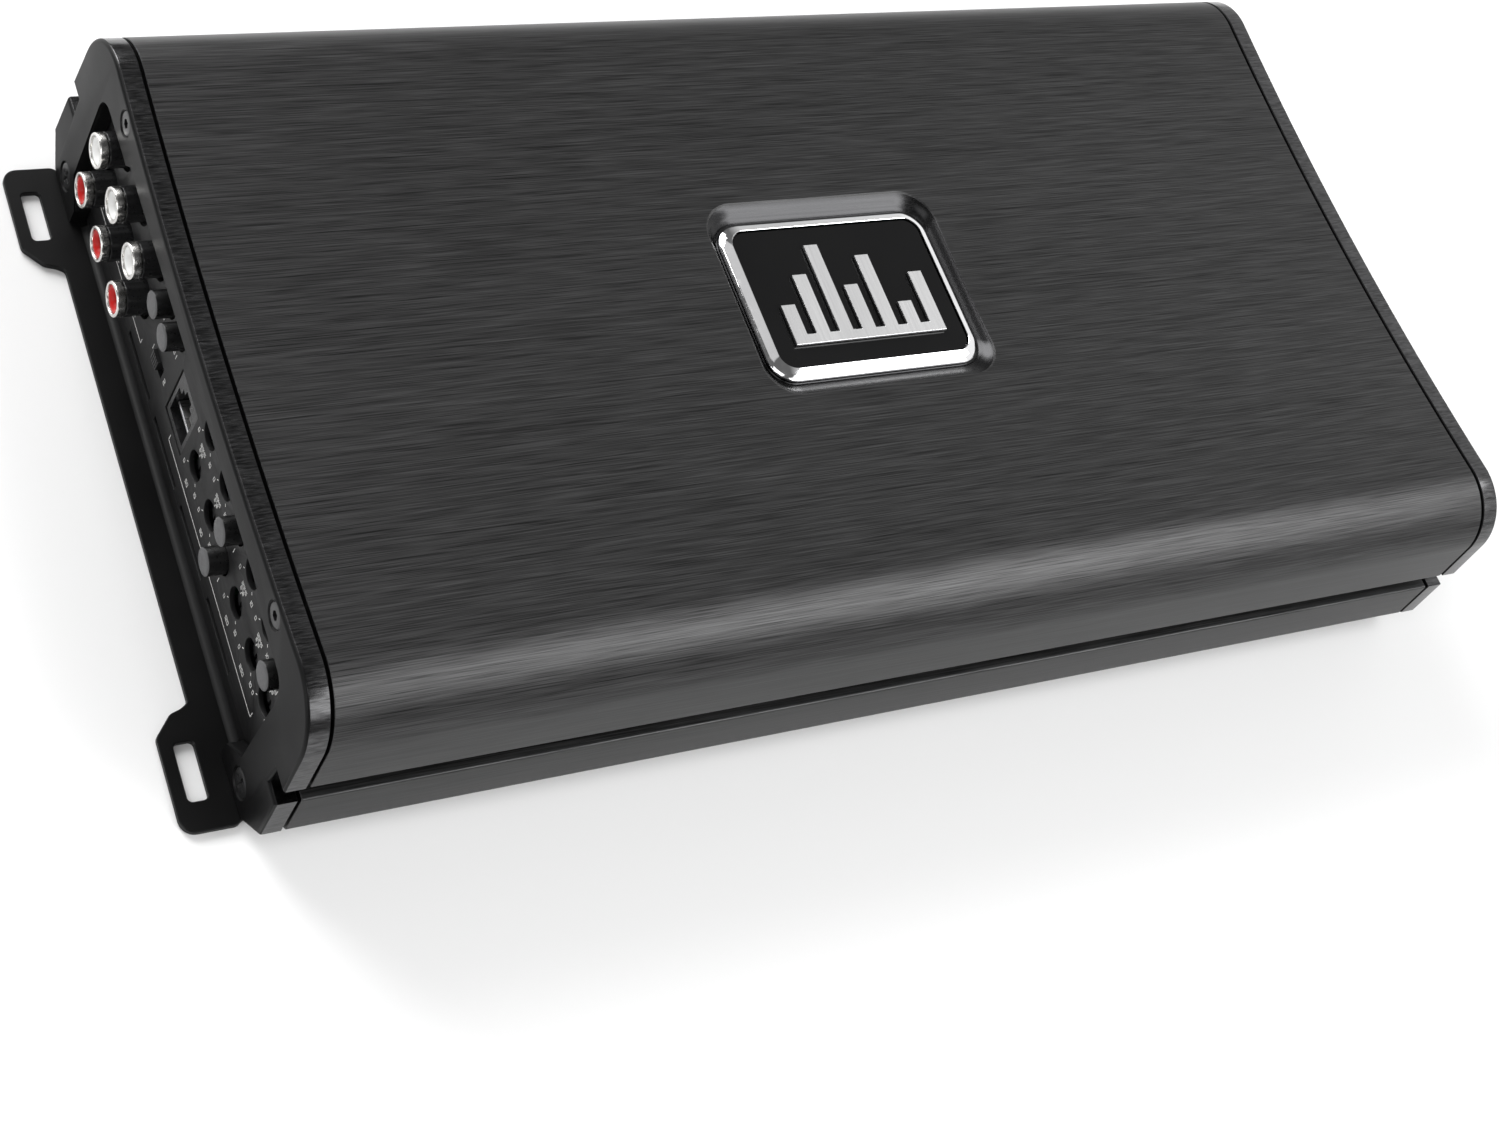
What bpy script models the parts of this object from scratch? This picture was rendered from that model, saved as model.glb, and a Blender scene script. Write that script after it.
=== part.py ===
"""Multi-channel car amplifier: an extruded heatsink case between two end caps, on a slotted base plate.

+X runs along the case from the control end to the power end, +Z is up, and the origin lies on the
mounting surface under the middle of the case. Sizes are written in millimetres times MM, so the scene
is in metres. Every object is one separate piece of the amplifier.
"""

import math

import bmesh
import bpy

MM = 0.001
GAP = 0.3                     # clearance between neighbouring pieces
ROUND, FINE = 12, 16          # sides of small and of large round features

# Case: one cross-section shared by the heatsink and both end caps, as (y, z) of its right half.
CAP_FACE_X = 164.0            # outer faces of the end caps
CAP_BACK_X = 158.8
CASE_END_X = 158.0            # ends of the heatsink extrusion
PLATE_T = 1.5
CASE_Z = PLATE_T + GAP        # underside of heatsink and caps
RAIL_FOOT_Y = 83.4            # bottom of the chamfer under the base rail
RAIL_Y, RAIL_LOW_Z = 90.0, 9.2
RAIL_TOP_Y, RAIL_TOP_Z = 89.25, 22.3
GROOVE_Y, GROOVE_TOP_Z = 84.0, 28.3
SIDE_LEAN = 0.0736            # inward lean of the side above the groove
SHOULDER_R = 14.8
SHOULDER_Y, SHOULDER_Z = 72.3, 55.0
DISH_Z = 52.13                # height of the dished top along its middle
SHOULDER_STEPS, DISH_STEPS = 10, 9

# Window in each end cap, and the sheet panel that sits in a rebate behind it.
WINDOW_Y, WINDOW_Z, WINDOW_BOSS_Y, WINDOW_BOSS_Z = 73.8, 45.9, 54.0, 43.85
WINDOW_R = 5.0
WINDOW_FOOT_Y, WINDOW_CHAMFER_LOW_Z, WINDOW_CHAMFER_HIGH_Z = 67.9, 6.5, 12.6
PANEL_FACE_X, PANEL_T = 159.9, 1.2
PANEL_MARGIN = 1.6            # how far the panel reaches behind the window's edge
CAP_EDGE = 0.8                # rounding of the cap's outer edge

# Screws that hold the end caps: (y, z, head radius, shank radius).
TOP_SCREW = (60.7, 50.3, 2.95, 1.4)
LOW_SCREW = (77.4, 7.2, 3.4, 1.7)
SCREW_HEAD_H, SCREW_LENGTH, SCREW_SUNK, DRIVE_DEPTH = 1.8, 14.0, 0.2, 1.1
HEX_R, CROSS_ARM, CROSS_HALF_W = 1.15, 1.9, 0.38

# Base plate with four slotted feet.
PLATE_Y = 83.0
STRIP_X = 167.8               # edge of the plate between the feet
FOOT_X, FOOT_OUT_Y = 176.5, 84.1
FOOT_CHAMFER = ((176.5, 62.0), (172.3, 57.2), (169.6, 56.4), (167.8, 55.2))
FOOT_R, FOOT_STEP_XS = 3.5, (164.5, 163.0)
SLOT_X, SLOT_Y, SLOT_W, SLOT_L, SLOT_R = 171.2, 70.65, 4.6, 13.4, 1.2
STANDOFF_R, STANDOFF_Y = 3.0, 62.0
STANDOFF_XS = (-110.0, 0.0, 110.0)

# Circuit board, which lies on the case's rails and the plate's standoffs.
BOARD_Z, BOARD_T, BOARD_X, BOARD_Y = 12.1, 1.6, 156.0, 79.6
BOARD_TOP = BOARD_Z + BOARD_T
PARTS_Z = BOARD_TOP + GAP     # underside of everything that stands on the board

# Badge in its bevelled pocket.
POCKET_TOP, POCKET_FLOOR = (33.0, 27.0, 9.0), (30.4, 22.6, 7.0)
POCKET_FLOOR_Z = DISH_Z - 2.2
BEZEL_OUT, BEZEL_IN = (29.9, 22.1, 6.6), (27.1, 19.3, 4.2)
BEZEL_TOP_Z, BEZEL_RIM_H = DISH_Z - 0.15, 0.45
BADGE_PLATE_TOP_Z, EMBLEM_T = BEZEL_TOP_Z - 0.45, 0.7
EMBLEM_BARS = (11.0, 19.0, 27.0, 15.0, 23.0, 9.0, 17.0)
EMBLEM_BAR_W, EMBLEM_PITCH, EMBLEM_BASE_H = 3.9, 6.5, 2.6

# Input sockets: three columns of two.
SOCKET_YS = (63.4, 48.6, 33.8)
SOCKET_ZS = {"upper": 36.8, "lower": 21.7}
SOCKET_TIP_X, COLLAR_FRONT_X, COLLAR_R, COLLAR_HOLE_R = 167.1, 164.8, 3.95, 5.1
BARREL_R, BARREL_RING_L, NECK_R, BARREL_BACK_X = 4.17, 2.0, 3.0, 161.0
BARREL_MOUTH_R, BARREL_MOUTH_L, BARREL_BORE_R = 3.35, 1.4, 2.6
CORE_HOLE_R, CORE_HOLE_L, CORE_SUNK = 1.6, 4.1, 0.5
SOCKET_BLOCK_BACK_X, SOCKET_BLOCK_MARGIN = 144.5, 6.3

# Rotary level and crossover controls, recessed push buttons and one slide switch.
COLUMNS_Y = (-10.7, -23.0, -33.6, -44.0, -56.1, -66.8)
ROW_LOW_Z, ROW_HIGH_Z = 22.9, 35.9
KNOBS = {
    "knob_1_low": (COLUMNS_Y[0], ROW_LOW_Z), "knob_1_high": (COLUMNS_Y[0], ROW_HIGH_Z),
    "knob_2_low": (COLUMNS_Y[1], ROW_LOW_Z), "knob_2_high": (COLUMNS_Y[1], ROW_HIGH_Z),
    "knob_4_low": (COLUMNS_Y[3], ROW_LOW_Z), "knob_4_high": (COLUMNS_Y[3], ROW_HIGH_Z),
    "knob_5_low": (COLUMNS_Y[4], ROW_LOW_Z), "knob_5_high": (COLUMNS_Y[4], ROW_HIGH_Z),
    "knob_6_low": (COLUMNS_Y[5], ROW_LOW_Z),
}
KNOB_HOLE_R, KNOB_R, KNOB_FRONT_X, KNOB_HEAD_L = 3.5, 3.0, 158.3, 1.4
KNOB_SHAFT_R, KNOB_BORE_R, KNOB_SHAFT_L = 1.5, 1.6, 5.0
KNOB_SLOT_HALF_W, KNOB_SLOT_DEPTH = 0.45, 0.8
KNOB_HOUSING_BACK_X, KNOB_HOUSING_MARGIN, BORE_SPARE, HOUSING_ABOVE = 148.0, 4.6, 0.5, 5.0
BUTTONS = {
    "button_input_a": (22.7, ROW_HIGH_Z), "button_input_b": (14.3, ROW_HIGH_Z),
    "button_3_high": (COLUMNS_Y[2], ROW_HIGH_Z), "button_3_low": (COLUMNS_Y[2], ROW_LOW_Z),
    "button_6_high": (COLUMNS_Y[5], ROW_HIGH_Z),
}
BUTTON_HOLE_R, BUTTON_R, BUTTON_FACE_X, BUTTON_BACK_X = 3.6, 3.2, 164.4, 157.6
BUTTON_STEM, BUTTON_STEM_END_X, SWITCH_FRONT_X = 1.5, 150.5, 154.2
SWITCH_BORE, SWITCH_BORE_END_X, SWITCH_BACK_X, SWITCH_MARGIN = 1.8, 146.6, 145.0, 3.6
SLIDE_Y, SLIDE_Z, SLIDE_SLOT, SLIDE_LEVER_W, SLIDE_LEVER_FRONT_X = 17.5, 19.6, (5.9, 3.4), 3.6, 160.7
SLIDE_CARRIER_XS, SLIDE_CARRIER_HALF = (158.2, 156.8), (3.4, 2.6)
SLIDE_FRAME_XS, SLIDE_FRAME_HALF_W, SLIDE_FRAME_ABOVE = (158.4, 154.6), 6.2, 4.4
SLIDE_POCKET_XS, SLIDE_POCKET_HALF = (159.5, 156.5), (5.0, 2.9)
REMOTE_Y, REMOTE_Z, REMOTE_SIZE, REMOTE_FRONT_X, REMOTE_BACK_X = 2.1, 23.9, (12.0, 15.4), 159.6, 145.5
REMOTE_MOUTH_LOW_Z, REMOTE_MOUTH_WALL = -6.1, 2.0
REMOTE_MOUTH_STEPS = ((4.9, 2.6), (3.1, 4.4), (1.7, 6.0))    # half width and height of each step
VENT_YS, VENT_Z, VENT_SIZE = (24.0, 1.3, -21.4, -44.1), 8.1, (18.0, 1.7)

# Power end: wire terminals.
BLOCK_FACE_X, BLOCK_BACK_X, BLOCK_TOP_Z = 163.6, 146.0, 35.0
SPEAKER_Y, SPEAKER_PITCH, SPEAKER_ENTRY, SPEAKER_ENTRY_Z = (-70.0, 20.0), 8.6, 3.8, 19.6
POWER_Y, POWER_ENTRY_YS, POWER_ENTRY_R, POWER_ENTRY_Z = (25.0, 71.0), (35.0, 50.0), 4.6, 21.0
REMOTE_ENTRY_Y, REMOTE_ENTRY, ENTRY_DEPTH = 63.5, 3.8, 12.0

# Large parts on the board.
TOROID_X, TOROID_R, TOROID_WIRE_R, TOROID_HALF_H, TOROID_STEPS, TOROID_SIDES = 40.0, 21.0, 8.5, 9.5, 24, 8
CAPACITOR_X, CAPACITOR_YS, CAPACITOR_R, CAPACITOR_TOP_Z = 95.0, (24.0, -24.0), 9.0, 44.5
TRANSISTORS_LOW, TRANSISTORS_HIGH = (-40.0, 75.4, PARTS_Z), (130.0, 79.2, 32.0)


def clear_scene():
    for old in list(bpy.data.objects):
        bpy.data.objects.remove(old)


def material(name, color, roughness, metallic=0.0):
    mat = bpy.data.materials.get(name)
    if mat is None:
        mat = bpy.data.materials.new(name)
        mat.use_nodes = True
        shader = mat.node_tree.nodes["Principled BSDF"]
        shader.inputs["Base Color"].default_value = (*color, 1.0)
        shader.inputs["Roughness"].default_value = roughness
        shader.inputs["Metallic"].default_value = metallic
        mat.diffuse_color = (*color, 1.0)
    return mat


def add_object(name, bm, mat, smooth_angle=35.0):
    bmesh.ops.recalc_face_normals(bm, faces=bm.faces)
    mesh = bpy.data.meshes.new(name)
    bm.to_mesh(mesh)
    bm.free()
    obj = bpy.data.objects.new(name, mesh)
    bpy.context.scene.collection.objects.link(obj)
    mesh.shade_smooth()
    mesh.set_sharp_from_angle(angle=math.radians(smooth_angle))
    if mat:
        mesh.materials.append(mat)
    return obj


def add_loops(bm, loops, closed=False):
    """Skin a list of loops with equal point counts; the ends are filled, or joined when closed."""
    rings = [[bm.verts.new((x * MM, y * MM, z * MM)) for x, y, z in loop] for loop in loops]
    pairs = list(zip(rings, rings[1:]))
    if closed:
        pairs.append((rings[-1], rings[0]))
    for first, second in pairs:
        for i in range(len(first)):
            j = (i + 1) % len(first)
            bm.faces.new((first[i], first[j], second[j], second[i]))
    if not closed:
        bm.faces.new(rings[0])
        bm.faces.new(rings[-1])


def add_prism(bm, outline, low_x, high_x):
    """Extrude a (y, z) outline along X."""
    add_loops(bm, [[(x, y, z) for y, z in outline] for x in (low_x, high_x)])


def add_box(bm, low, high):
    outline = [(low[1], low[2]), (high[1], low[2]), (high[1], high[2]), (low[1], high[2])]
    add_prism(bm, outline, low[0], high[0])


def add_slab(bm, outline, low_z, high_z):
    """Extrude an (x, y) outline along Z."""
    add_loops(bm, [[(x, y, z) for x, y in outline] for z in (low_z, high_z)])


def circle(center, radius, segments, turn=0.5):
    angles = [2 * math.pi * (i + turn) / segments for i in range(segments)]
    return [(center[0] + radius * math.cos(a), center[1] + radius * math.sin(a)) for a in angles]


def add_turned(bm, profile, center, segments, closed=False):
    """Turn a profile of (x, radius) points about the X-parallel line through center (y, z)."""
    loops = [[(x, y, z) for y, z in circle(center, radius, segments)] for x, radius in profile]
    add_loops(bm, loops, closed)


def arc(center, radius, start_deg, end_deg, steps):
    angles = [math.radians(start_deg + (end_deg - start_deg) * i / steps) for i in range(steps + 1)]
    return [(center[0] + radius * math.cos(a), center[1] + radius * math.sin(a)) for a in angles]


def rounded_rect(half_w, half_h, radius, steps=5):
    points = []
    for sx, sy, start in ((1, 1, 0), (-1, 1, 90), (-1, -1, 180), (1, -1, 270)):
        center = (sx * (half_w - radius), sy * (half_h - radius))
        points += arc(center, radius, start, start + 90, steps)
    return points


def cut(target, cutter):
    boolean(target, cutter, "DIFFERENCE")


def boolean(target, other, operation):
    other.hide_render = True
    other.display_type = "WIRE"
    modifier = target.modifiers.new(operation.lower(), "BOOLEAN")
    modifier.operation = operation
    modifier.object = other
    modifier.solver = "EXACT"


def outer_half_profile():
    """Right half of the case's outside, from the foot of its chamfer up to the middle of the top."""
    slope = 2 * (SHOULDER_Z - DISH_Z) / SHOULDER_Y
    top_tilt = math.atan(slope)
    side_tilt = math.atan(SIDE_LEAN)
    center = (
        SHOULDER_Y + SHOULDER_R * math.sin(top_tilt),
        SHOULDER_Z - SHOULDER_R * math.cos(top_tilt),
    )
    start, end = math.degrees(side_tilt), 90 + math.degrees(top_tilt)
    shoulder = arc(center, SHOULDER_R, start, end, SHOULDER_STEPS)
    side_top_y, side_top_z = shoulder[0]
    side_y = side_top_y + SIDE_LEAN * (side_top_z - GROOVE_TOP_Z)
    points = [
        (RAIL_FOOT_Y, CASE_Z), (RAIL_Y, RAIL_LOW_Z), (RAIL_TOP_Y, RAIL_TOP_Z), (GROOVE_Y, RAIL_TOP_Z),
        (GROOVE_Y, GROOVE_TOP_Z), (side_y, GROOVE_TOP_Z),
    ]
    points += shoulder
    for i in range(1, DISH_STEPS + 1):
        y = SHOULDER_Y * (1 - i / DISH_STEPS)
        points.append((y, DISH_Z + (SHOULDER_Z - DISH_Z) * (y / SHOULDER_Y) ** 2))
    return points


def mirrored(half):
    """Complete a half outline that ends on the middle plane, going from +Y over the top to -Y."""
    return half + [(-y, z) for y, z in reversed(half) if y > 0]


def window_half(margin):
    """Right half of the window's outline, grown by margin, from its foot up to the middle of its top."""
    corner = (WINDOW_Y + margin - WINDOW_R, WINDOW_BOSS_Z + margin - WINDOW_R)
    return [
        (WINDOW_FOOT_Y + margin, CASE_Z), (WINDOW_FOOT_Y + margin, WINDOW_CHAMFER_LOW_Z),
        (WINDOW_Y + margin, WINDOW_CHAMFER_HIGH_Z), *arc(corner, WINDOW_R, 0, 90, 4),
        (WINDOW_BOSS_Y + margin, WINDOW_BOSS_Z + margin),
        (WINDOW_BOSS_Y - 2.0, WINDOW_Z + margin), (0.0, WINDOW_Z + margin),
    ]


def screw_sites():
    screws = (TOP_SCREW, LOW_SCREW)
    return [(side * y, z, head, shank) for y, z, head, shank in screws for side in (1, -1)]


def inset_outline(points, distance):
    """Move each point of an open outline inwards along the mean of its two edge normals."""
    moved = []
    for i, (y, z) in enumerate(points):
        y0, z0 = points[max(i - 1, 0)]
        y1, z1 = points[min(i + 1, len(points) - 1)]
        length = math.hypot(y1 - y0, z1 - z0)
        moved.append((y - distance * (z1 - z0) / length, z + distance * (y1 - y0) / length))
    return moved


def heatsink():
    black = material("heatsink", (0.035, 0.036, 0.038), 0.38, 0.9)
    inner_half = [
        (73.0, CASE_Z), (73.0, 11.8), (81.0, 11.8), (81.0, 38.5), (78.5, 44.0), (72.5, 48.6),
        (66.0, 48.6), (66.0, 46.4), (55.6, 46.4), (55.6, 47.6), (0.0, 47.6),
    ]
    outline = mirrored(outer_half_profile()) + mirrored(inner_half)[::-1]
    bm = bmesh.new()
    add_prism(bm, outline, -CASE_END_X, CASE_END_X)
    case = add_object("heatsink_case", bm, black)

    bm = bmesh.new()
    (top_x, top_y, top_r), (low_x, low_y, low_r) = POCKET_TOP, POCKET_FLOOR
    rise = DISH_Z - POCKET_FLOOR_Z
    for_above = 2.0           # the cutter stands this many pocket depths above the floor
    pairs = ((top_x, low_x), (top_y, low_y), (top_r, low_r))
    high = [low + (top - low) * for_above for top, low in pairs]
    add_loops(bm, [
        [(x, y, POCKET_FLOOR_Z) for x, y in rounded_rect(low_x, low_y, low_r)],
        [(x, y, POCKET_FLOOR_Z + rise * for_above) for x, y in rounded_rect(*high)],
    ])
    cut(case, add_object("pocket_cutter", bm, None))

    bm = bmesh.new()
    for y, z, _, shank in screw_sites():
        for side in (1, -1):
            outline = circle((y, z), shank + GAP, ROUND)
            add_prism(bm, outline, side * (CASE_END_X - SCREW_LENGTH), side * (CASE_END_X + 2))
    cut(case, add_object("case_screw_holes", bm, None))


def end_cap(name, side):
    """side is -1 at the control end and +1 at the power end."""
    black = material("end_cap", (0.03, 0.03, 0.032), 0.45, 0.6)
    outer = mirrored(outer_half_profile())
    window = mirrored(window_half(0.0))[::-1]
    middle = 0.3 * CAP_EDGE
    steps = ((0.0, CAP_EDGE), (middle, middle), (CAP_EDGE, 0.0), (CAP_FACE_X - CAP_BACK_X, 0.0))
    bm = bmesh.new()
    loops = []
    for depth, inset in steps:
        x = side * (CAP_FACE_X - depth)
        shrunk = inset_outline(outer, inset)
        shrunk[0], shrunk[-1] = outer[0], outer[-1]
        loops.append([(x, y, z) for y, z in shrunk + window])
    add_loops(bm, loops)
    cap = add_object(name, bm, black)

    bm = bmesh.new()
    rebate = mirrored(window_half(PANEL_MARGIN + GAP))
    rebate[0], rebate[-1] = (rebate[0][0], CASE_Z - 2), (rebate[-1][0], CASE_Z - 2)
    add_prism(bm, rebate, side * (PANEL_FACE_X + GAP), side * (CAP_BACK_X - 2))
    cut(cap, add_object(name + "_rebate", bm, None))

    bm = bmesh.new()
    seat = CAP_FACE_X - SCREW_SUNK
    for y, z, head, shank in screw_sites():
        profile = [
            (side * (CAP_FACE_X + 1), head + GAP), (side * seat, head + GAP),
            (side * (seat - SCREW_HEAD_H), shank + GAP), (side * (CAP_BACK_X - 1), shank + GAP),
        ]
        add_turned(bm, profile, (y, z), ROUND)
    cut(cap, add_object(name + "_screw_holes", bm, None))


def cap_screws(end, side):
    steel = material("screw", (0.08, 0.08, 0.085), 0.35, 0.9)
    for y, z, head, shank in screw_sites():
        place = ("top" if z > SHOULDER_Z / 2 else "low") + ("_left" if y * side < 0 else "_right")
        face = CAP_FACE_X - SCREW_SUNK
        profile = [
            (side * face, head), (side * (face - 0.25), head), (side * (face - SCREW_HEAD_H), shank),
            (side * (face - SCREW_LENGTH), shank),
        ]
        bm = bmesh.new()
        add_turned(bm, profile, (y, z), ROUND)
        screw = add_object(f"{end}_screw_{place}", bm, steel)
        bm = bmesh.new()
        depth = face - DRIVE_DEPTH
        if place.startswith("top"):
            add_prism(bm, circle((y, z), HEX_R, 6), side * depth, side * (face + 1))
        else:
            arm, half = CROSS_ARM, CROSS_HALF_W
            cross = [
                (arm, -half), (arm, half), (half, half), (half, arm), (-half, arm), (-half, half),
                (-arm, half), (-arm, -half), (-half, -half), (-half, -arm), (half, -arm), (half, -half),
            ]
            add_prism(bm, [(y + dy, z + dz) for dy, dz in cross], side * depth, side * (face + 1))
        cut(screw, add_object(screw.name + "_drive", bm, None))


def base_plate():
    black = material("base_plate", (0.02, 0.02, 0.021), 0.5, 0.3)
    corner = arc((FOOT_X - FOOT_R, FOOT_OUT_Y - FOOT_R), FOOT_R, 0, 90, 3)
    step_out_x, step_in_x = FOOT_STEP_XS
    quarter = [(STRIP_X, 0.0), *reversed(FOOT_CHAMFER), *corner]
    quarter += [(step_out_x, FOOT_OUT_Y), (step_in_x, PLATE_Y), (0.0, PLATE_Y)]
    upper = quarter + [(-x, y) for x, y in reversed(quarter) if x > 0]
    outline = upper + [(x, -y) for x, y in reversed(upper) if y > 0]
    bm = bmesh.new()
    add_slab(bm, outline, 0.0, PLATE_T)
    plate = add_object("base_plate", bm, black)

    bm = bmesh.new()
    for x in STANDOFF_XS:
        for y in (-STANDOFF_Y, STANDOFF_Y):
            add_slab(bm, circle((x, y), STANDOFF_R, ROUND), PLATE_T / 2, BOARD_Z - GAP)
    boolean(plate, add_object("standoffs", bm, None), "UNION")

    bm = bmesh.new()
    for sx in (-1, 1):
        for sy in (-1, 1):
            slot = rounded_rect(SLOT_W / 2, SLOT_L / 2, SLOT_R, 3)
            add_slab(bm, [(sx * SLOT_X + x, sy * SLOT_Y + y) for x, y in slot], -1.0, PLATE_T + 1)
    cut(plate, add_object("slot_cutters", bm, None))


def panel(name, side, add_openings):
    steel = material("panel", (0.05, 0.05, 0.053), 0.55, 0.2)
    bm = bmesh.new()
    outline = mirrored(window_half(PANEL_MARGIN))
    add_prism(bm, outline, side * (PANEL_FACE_X - PANEL_T), side * PANEL_FACE_X)
    sheet = add_object(name, bm, steel)
    bm = bmesh.new()
    add_openings(bm, side * (PANEL_FACE_X - PANEL_T - 1), side * (PANEL_FACE_X + 1))
    cut(sheet, add_object(name + "_openings", bm, None))


def control_openings(bm, back_x, front_x):
    for y in SOCKET_YS:
        for z in SOCKET_ZS.values():
            add_prism(bm, circle((y, z), COLLAR_HOLE_R, FINE), back_x, front_x)
    for center in KNOBS.values():
        add_prism(bm, circle(center, KNOB_HOLE_R, ROUND), back_x, front_x)
    for center in BUTTONS.values():
        add_prism(bm, circle(center, BUTTON_HOLE_R, ROUND), back_x, front_x)
    rectangles = [(SLIDE_Y, SLIDE_Z, *SLIDE_SLOT)]
    rectangles.append((REMOTE_Y, REMOTE_Z, REMOTE_SIZE[0] + 2 * GAP, REMOTE_SIZE[1] + 2 * GAP))
    rectangles += [(y, VENT_Z, *VENT_SIZE) for y in VENT_YS]
    for y, z, width, height in rectangles:
        add_box(bm, (back_x, y - width / 2, z - height / 2), (front_x, y + width / 2, z + height / 2))


def power_openings(bm, back_x, front_x):
    for low_y, high_y in (SPEAKER_Y, POWER_Y):
        low = (back_x, low_y - GAP, PARTS_Z - GAP)
        add_box(bm, low, (front_x, high_y + GAP, BLOCK_TOP_Z + GAP))


def circuit_board():
    green = material("circuit_board", (0.02, 0.12, 0.05), 0.5)
    bm = bmesh.new()
    add_box(bm, (-BOARD_X, -BOARD_Y, BOARD_Z), (BOARD_X, BOARD_Y, BOARD_TOP))
    add_object("circuit_board", bm, green)


def badge():
    chrome = material("badge_bezel", (0.75, 0.76, 0.78), 0.12, 1.0)
    gloss = material("badge_plate", (0.02, 0.02, 0.022), 0.15)
    silver = material("badge_emblem", (0.62, 0.63, 0.65), 0.3, 1.0)
    base_z = POCKET_FLOOR_Z + GAP
    bm = bmesh.new()
    levels = (
        (BEZEL_OUT, base_z), (BEZEL_OUT, base_z + BEZEL_RIM_H), (BEZEL_IN, BEZEL_TOP_Z), (BEZEL_IN, base_z),
    )
    loops = [[(x, y, z) for x, y in rounded_rect(*size)] for size, z in levels]
    add_loops(bm, loops, closed=True)
    add_object("badge_bezel", bm, chrome)

    bm = bmesh.new()
    half_x, half_y, radius = (value - GAP for value in BEZEL_IN)
    add_slab(bm, rounded_rect(half_x, half_y, radius), base_z, BADGE_PLATE_TOP_Z)
    add_object("badge_plate", bm, gloss)

    # Seven level-meter bars standing on one base line, cut from a single sheet.
    width = EMBLEM_PITCH * (len(EMBLEM_BARS) - 1) + EMBLEM_BAR_W
    low_y = -max(EMBLEM_BARS) / 2
    left, base_y = -width / 2, low_y + EMBLEM_BASE_H
    outline = [(left, low_y), (left + width, low_y)]
    for i, height in reversed(list(enumerate(EMBLEM_BARS))):
        bar_left = left + i * EMBLEM_PITCH
        bar_right = bar_left + EMBLEM_BAR_W
        outline += [(bar_right, low_y + height), (bar_left, low_y + height)]
        if i:
            outline += [(bar_left, base_y), (bar_left - EMBLEM_PITCH + EMBLEM_BAR_W, base_y)]
    bm = bmesh.new()
    foot_z = BADGE_PLATE_TOP_Z + GAP
    add_slab(bm, outline, foot_z, foot_z + EMBLEM_T)
    add_object("badge_emblem", bm, silver)


def input_sockets():
    black = material("socket_block", (0.015, 0.015, 0.016), 0.4)
    nickel = material("socket_barrel", (0.78, 0.77, 0.74), 0.2, 1.0)
    colors = {
        "upper": material("socket_core_white", (0.85, 0.85, 0.84), 0.4),
        "lower": material("socket_core_red", (0.62, 0.03, 0.02), 0.4),
    }
    back = -(PANEL_FACE_X - PANEL_T - GAP)
    bm = bmesh.new()
    margin = SOCKET_BLOCK_MARGIN
    low = (back, SOCKET_YS[-1] - margin, PARTS_Z)
    add_box(bm, low, (-SOCKET_BLOCK_BACK_X, SOCKET_YS[0] + margin, SOCKET_ZS["upper"] + margin))
    block = add_object("socket_block", bm, black)
    collars, bores = bmesh.new(), bmesh.new()
    for y in SOCKET_YS:
        for z in SOCKET_ZS.values():
            add_prism(collars, circle((y, z), COLLAR_R, FINE), -COLLAR_FRONT_X, back + 2)
            bore = circle((y, z), NECK_R + GAP, FINE)
            add_prism(bores, bore, -COLLAR_FRONT_X - 1, -(BARREL_BACK_X - GAP))
    boolean(block, add_object("socket_collars", collars, None), "UNION")
    cut(block, add_object("socket_bores", bores, None))

    tip = SOCKET_TIP_X
    ledge = tip - BARREL_MOUTH_L
    barrel_section = [
        (-BARREL_BACK_X, NECK_R), (-tip + BARREL_RING_L, NECK_R), (-tip + BARREL_RING_L, BARREL_R),
        (-tip + 0.3, BARREL_R), (-tip, BARREL_R - 0.25), (-tip, BARREL_MOUTH_R + 0.15),
        (-tip + 0.25, BARREL_MOUTH_R), (-ledge, BARREL_MOUTH_R), (-ledge, BARREL_BORE_R),
        (-BARREL_BACK_X, BARREL_BORE_R),
    ]
    core_front, stem_r = tip - CORE_SUNK, BARREL_BORE_R - GAP
    core_section = [
        (-BARREL_BACK_X, stem_r), (-ledge - GAP, stem_r), (-ledge - GAP, BARREL_MOUTH_R - GAP),
        (-core_front, BARREL_MOUTH_R - GAP), (-core_front, CORE_HOLE_R),
        (-core_front + CORE_HOLE_L, CORE_HOLE_R),
    ]
    for column, y in enumerate(SOCKET_YS, start=1):
        for row, z in SOCKET_ZS.items():
            bm = bmesh.new()
            add_turned(bm, barrel_section, (y, z), FINE, closed=True)
            add_object(f"socket_barrel_{row}_{column}", bm, nickel)
            bm = bmesh.new()
            add_turned(bm, core_section, (y, z), ROUND)
            add_object(f"socket_core_{row}_{column}", bm, colors[row])


def knobs():
    """Screwdriver-slot knobs of the rotary controls, each turning in its housing."""
    plastic = material("knob", (0.03, 0.03, 0.032), 0.45)
    for name, (y, z) in KNOBS.items():
        head_back = KNOB_FRONT_X - KNOB_HEAD_L
        profile = [
            (-KNOB_FRONT_X, KNOB_R - 0.3), (-KNOB_FRONT_X + 0.3, KNOB_R), (-head_back, KNOB_R),
            (-head_back, KNOB_SHAFT_R), (-head_back + KNOB_SHAFT_L, KNOB_SHAFT_R),
        ]
        bm = bmesh.new()
        add_turned(bm, profile, (0.0, 0.0), ROUND)
        knob = add_object(name, bm, plastic)
        knob.location = (0.0, y * MM, z * MM)
        bm = bmesh.new()
        slot_low = (-KNOB_FRONT_X - 1, -KNOB_SLOT_HALF_W, -KNOB_R - 1)
        add_box(bm, slot_low, (-KNOB_FRONT_X + KNOB_SLOT_DEPTH, KNOB_SLOT_HALF_W, KNOB_R + 1))
        slot = add_object(name + "_slot", bm, None)
        slot.parent = knob
        cut(knob, slot)


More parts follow.
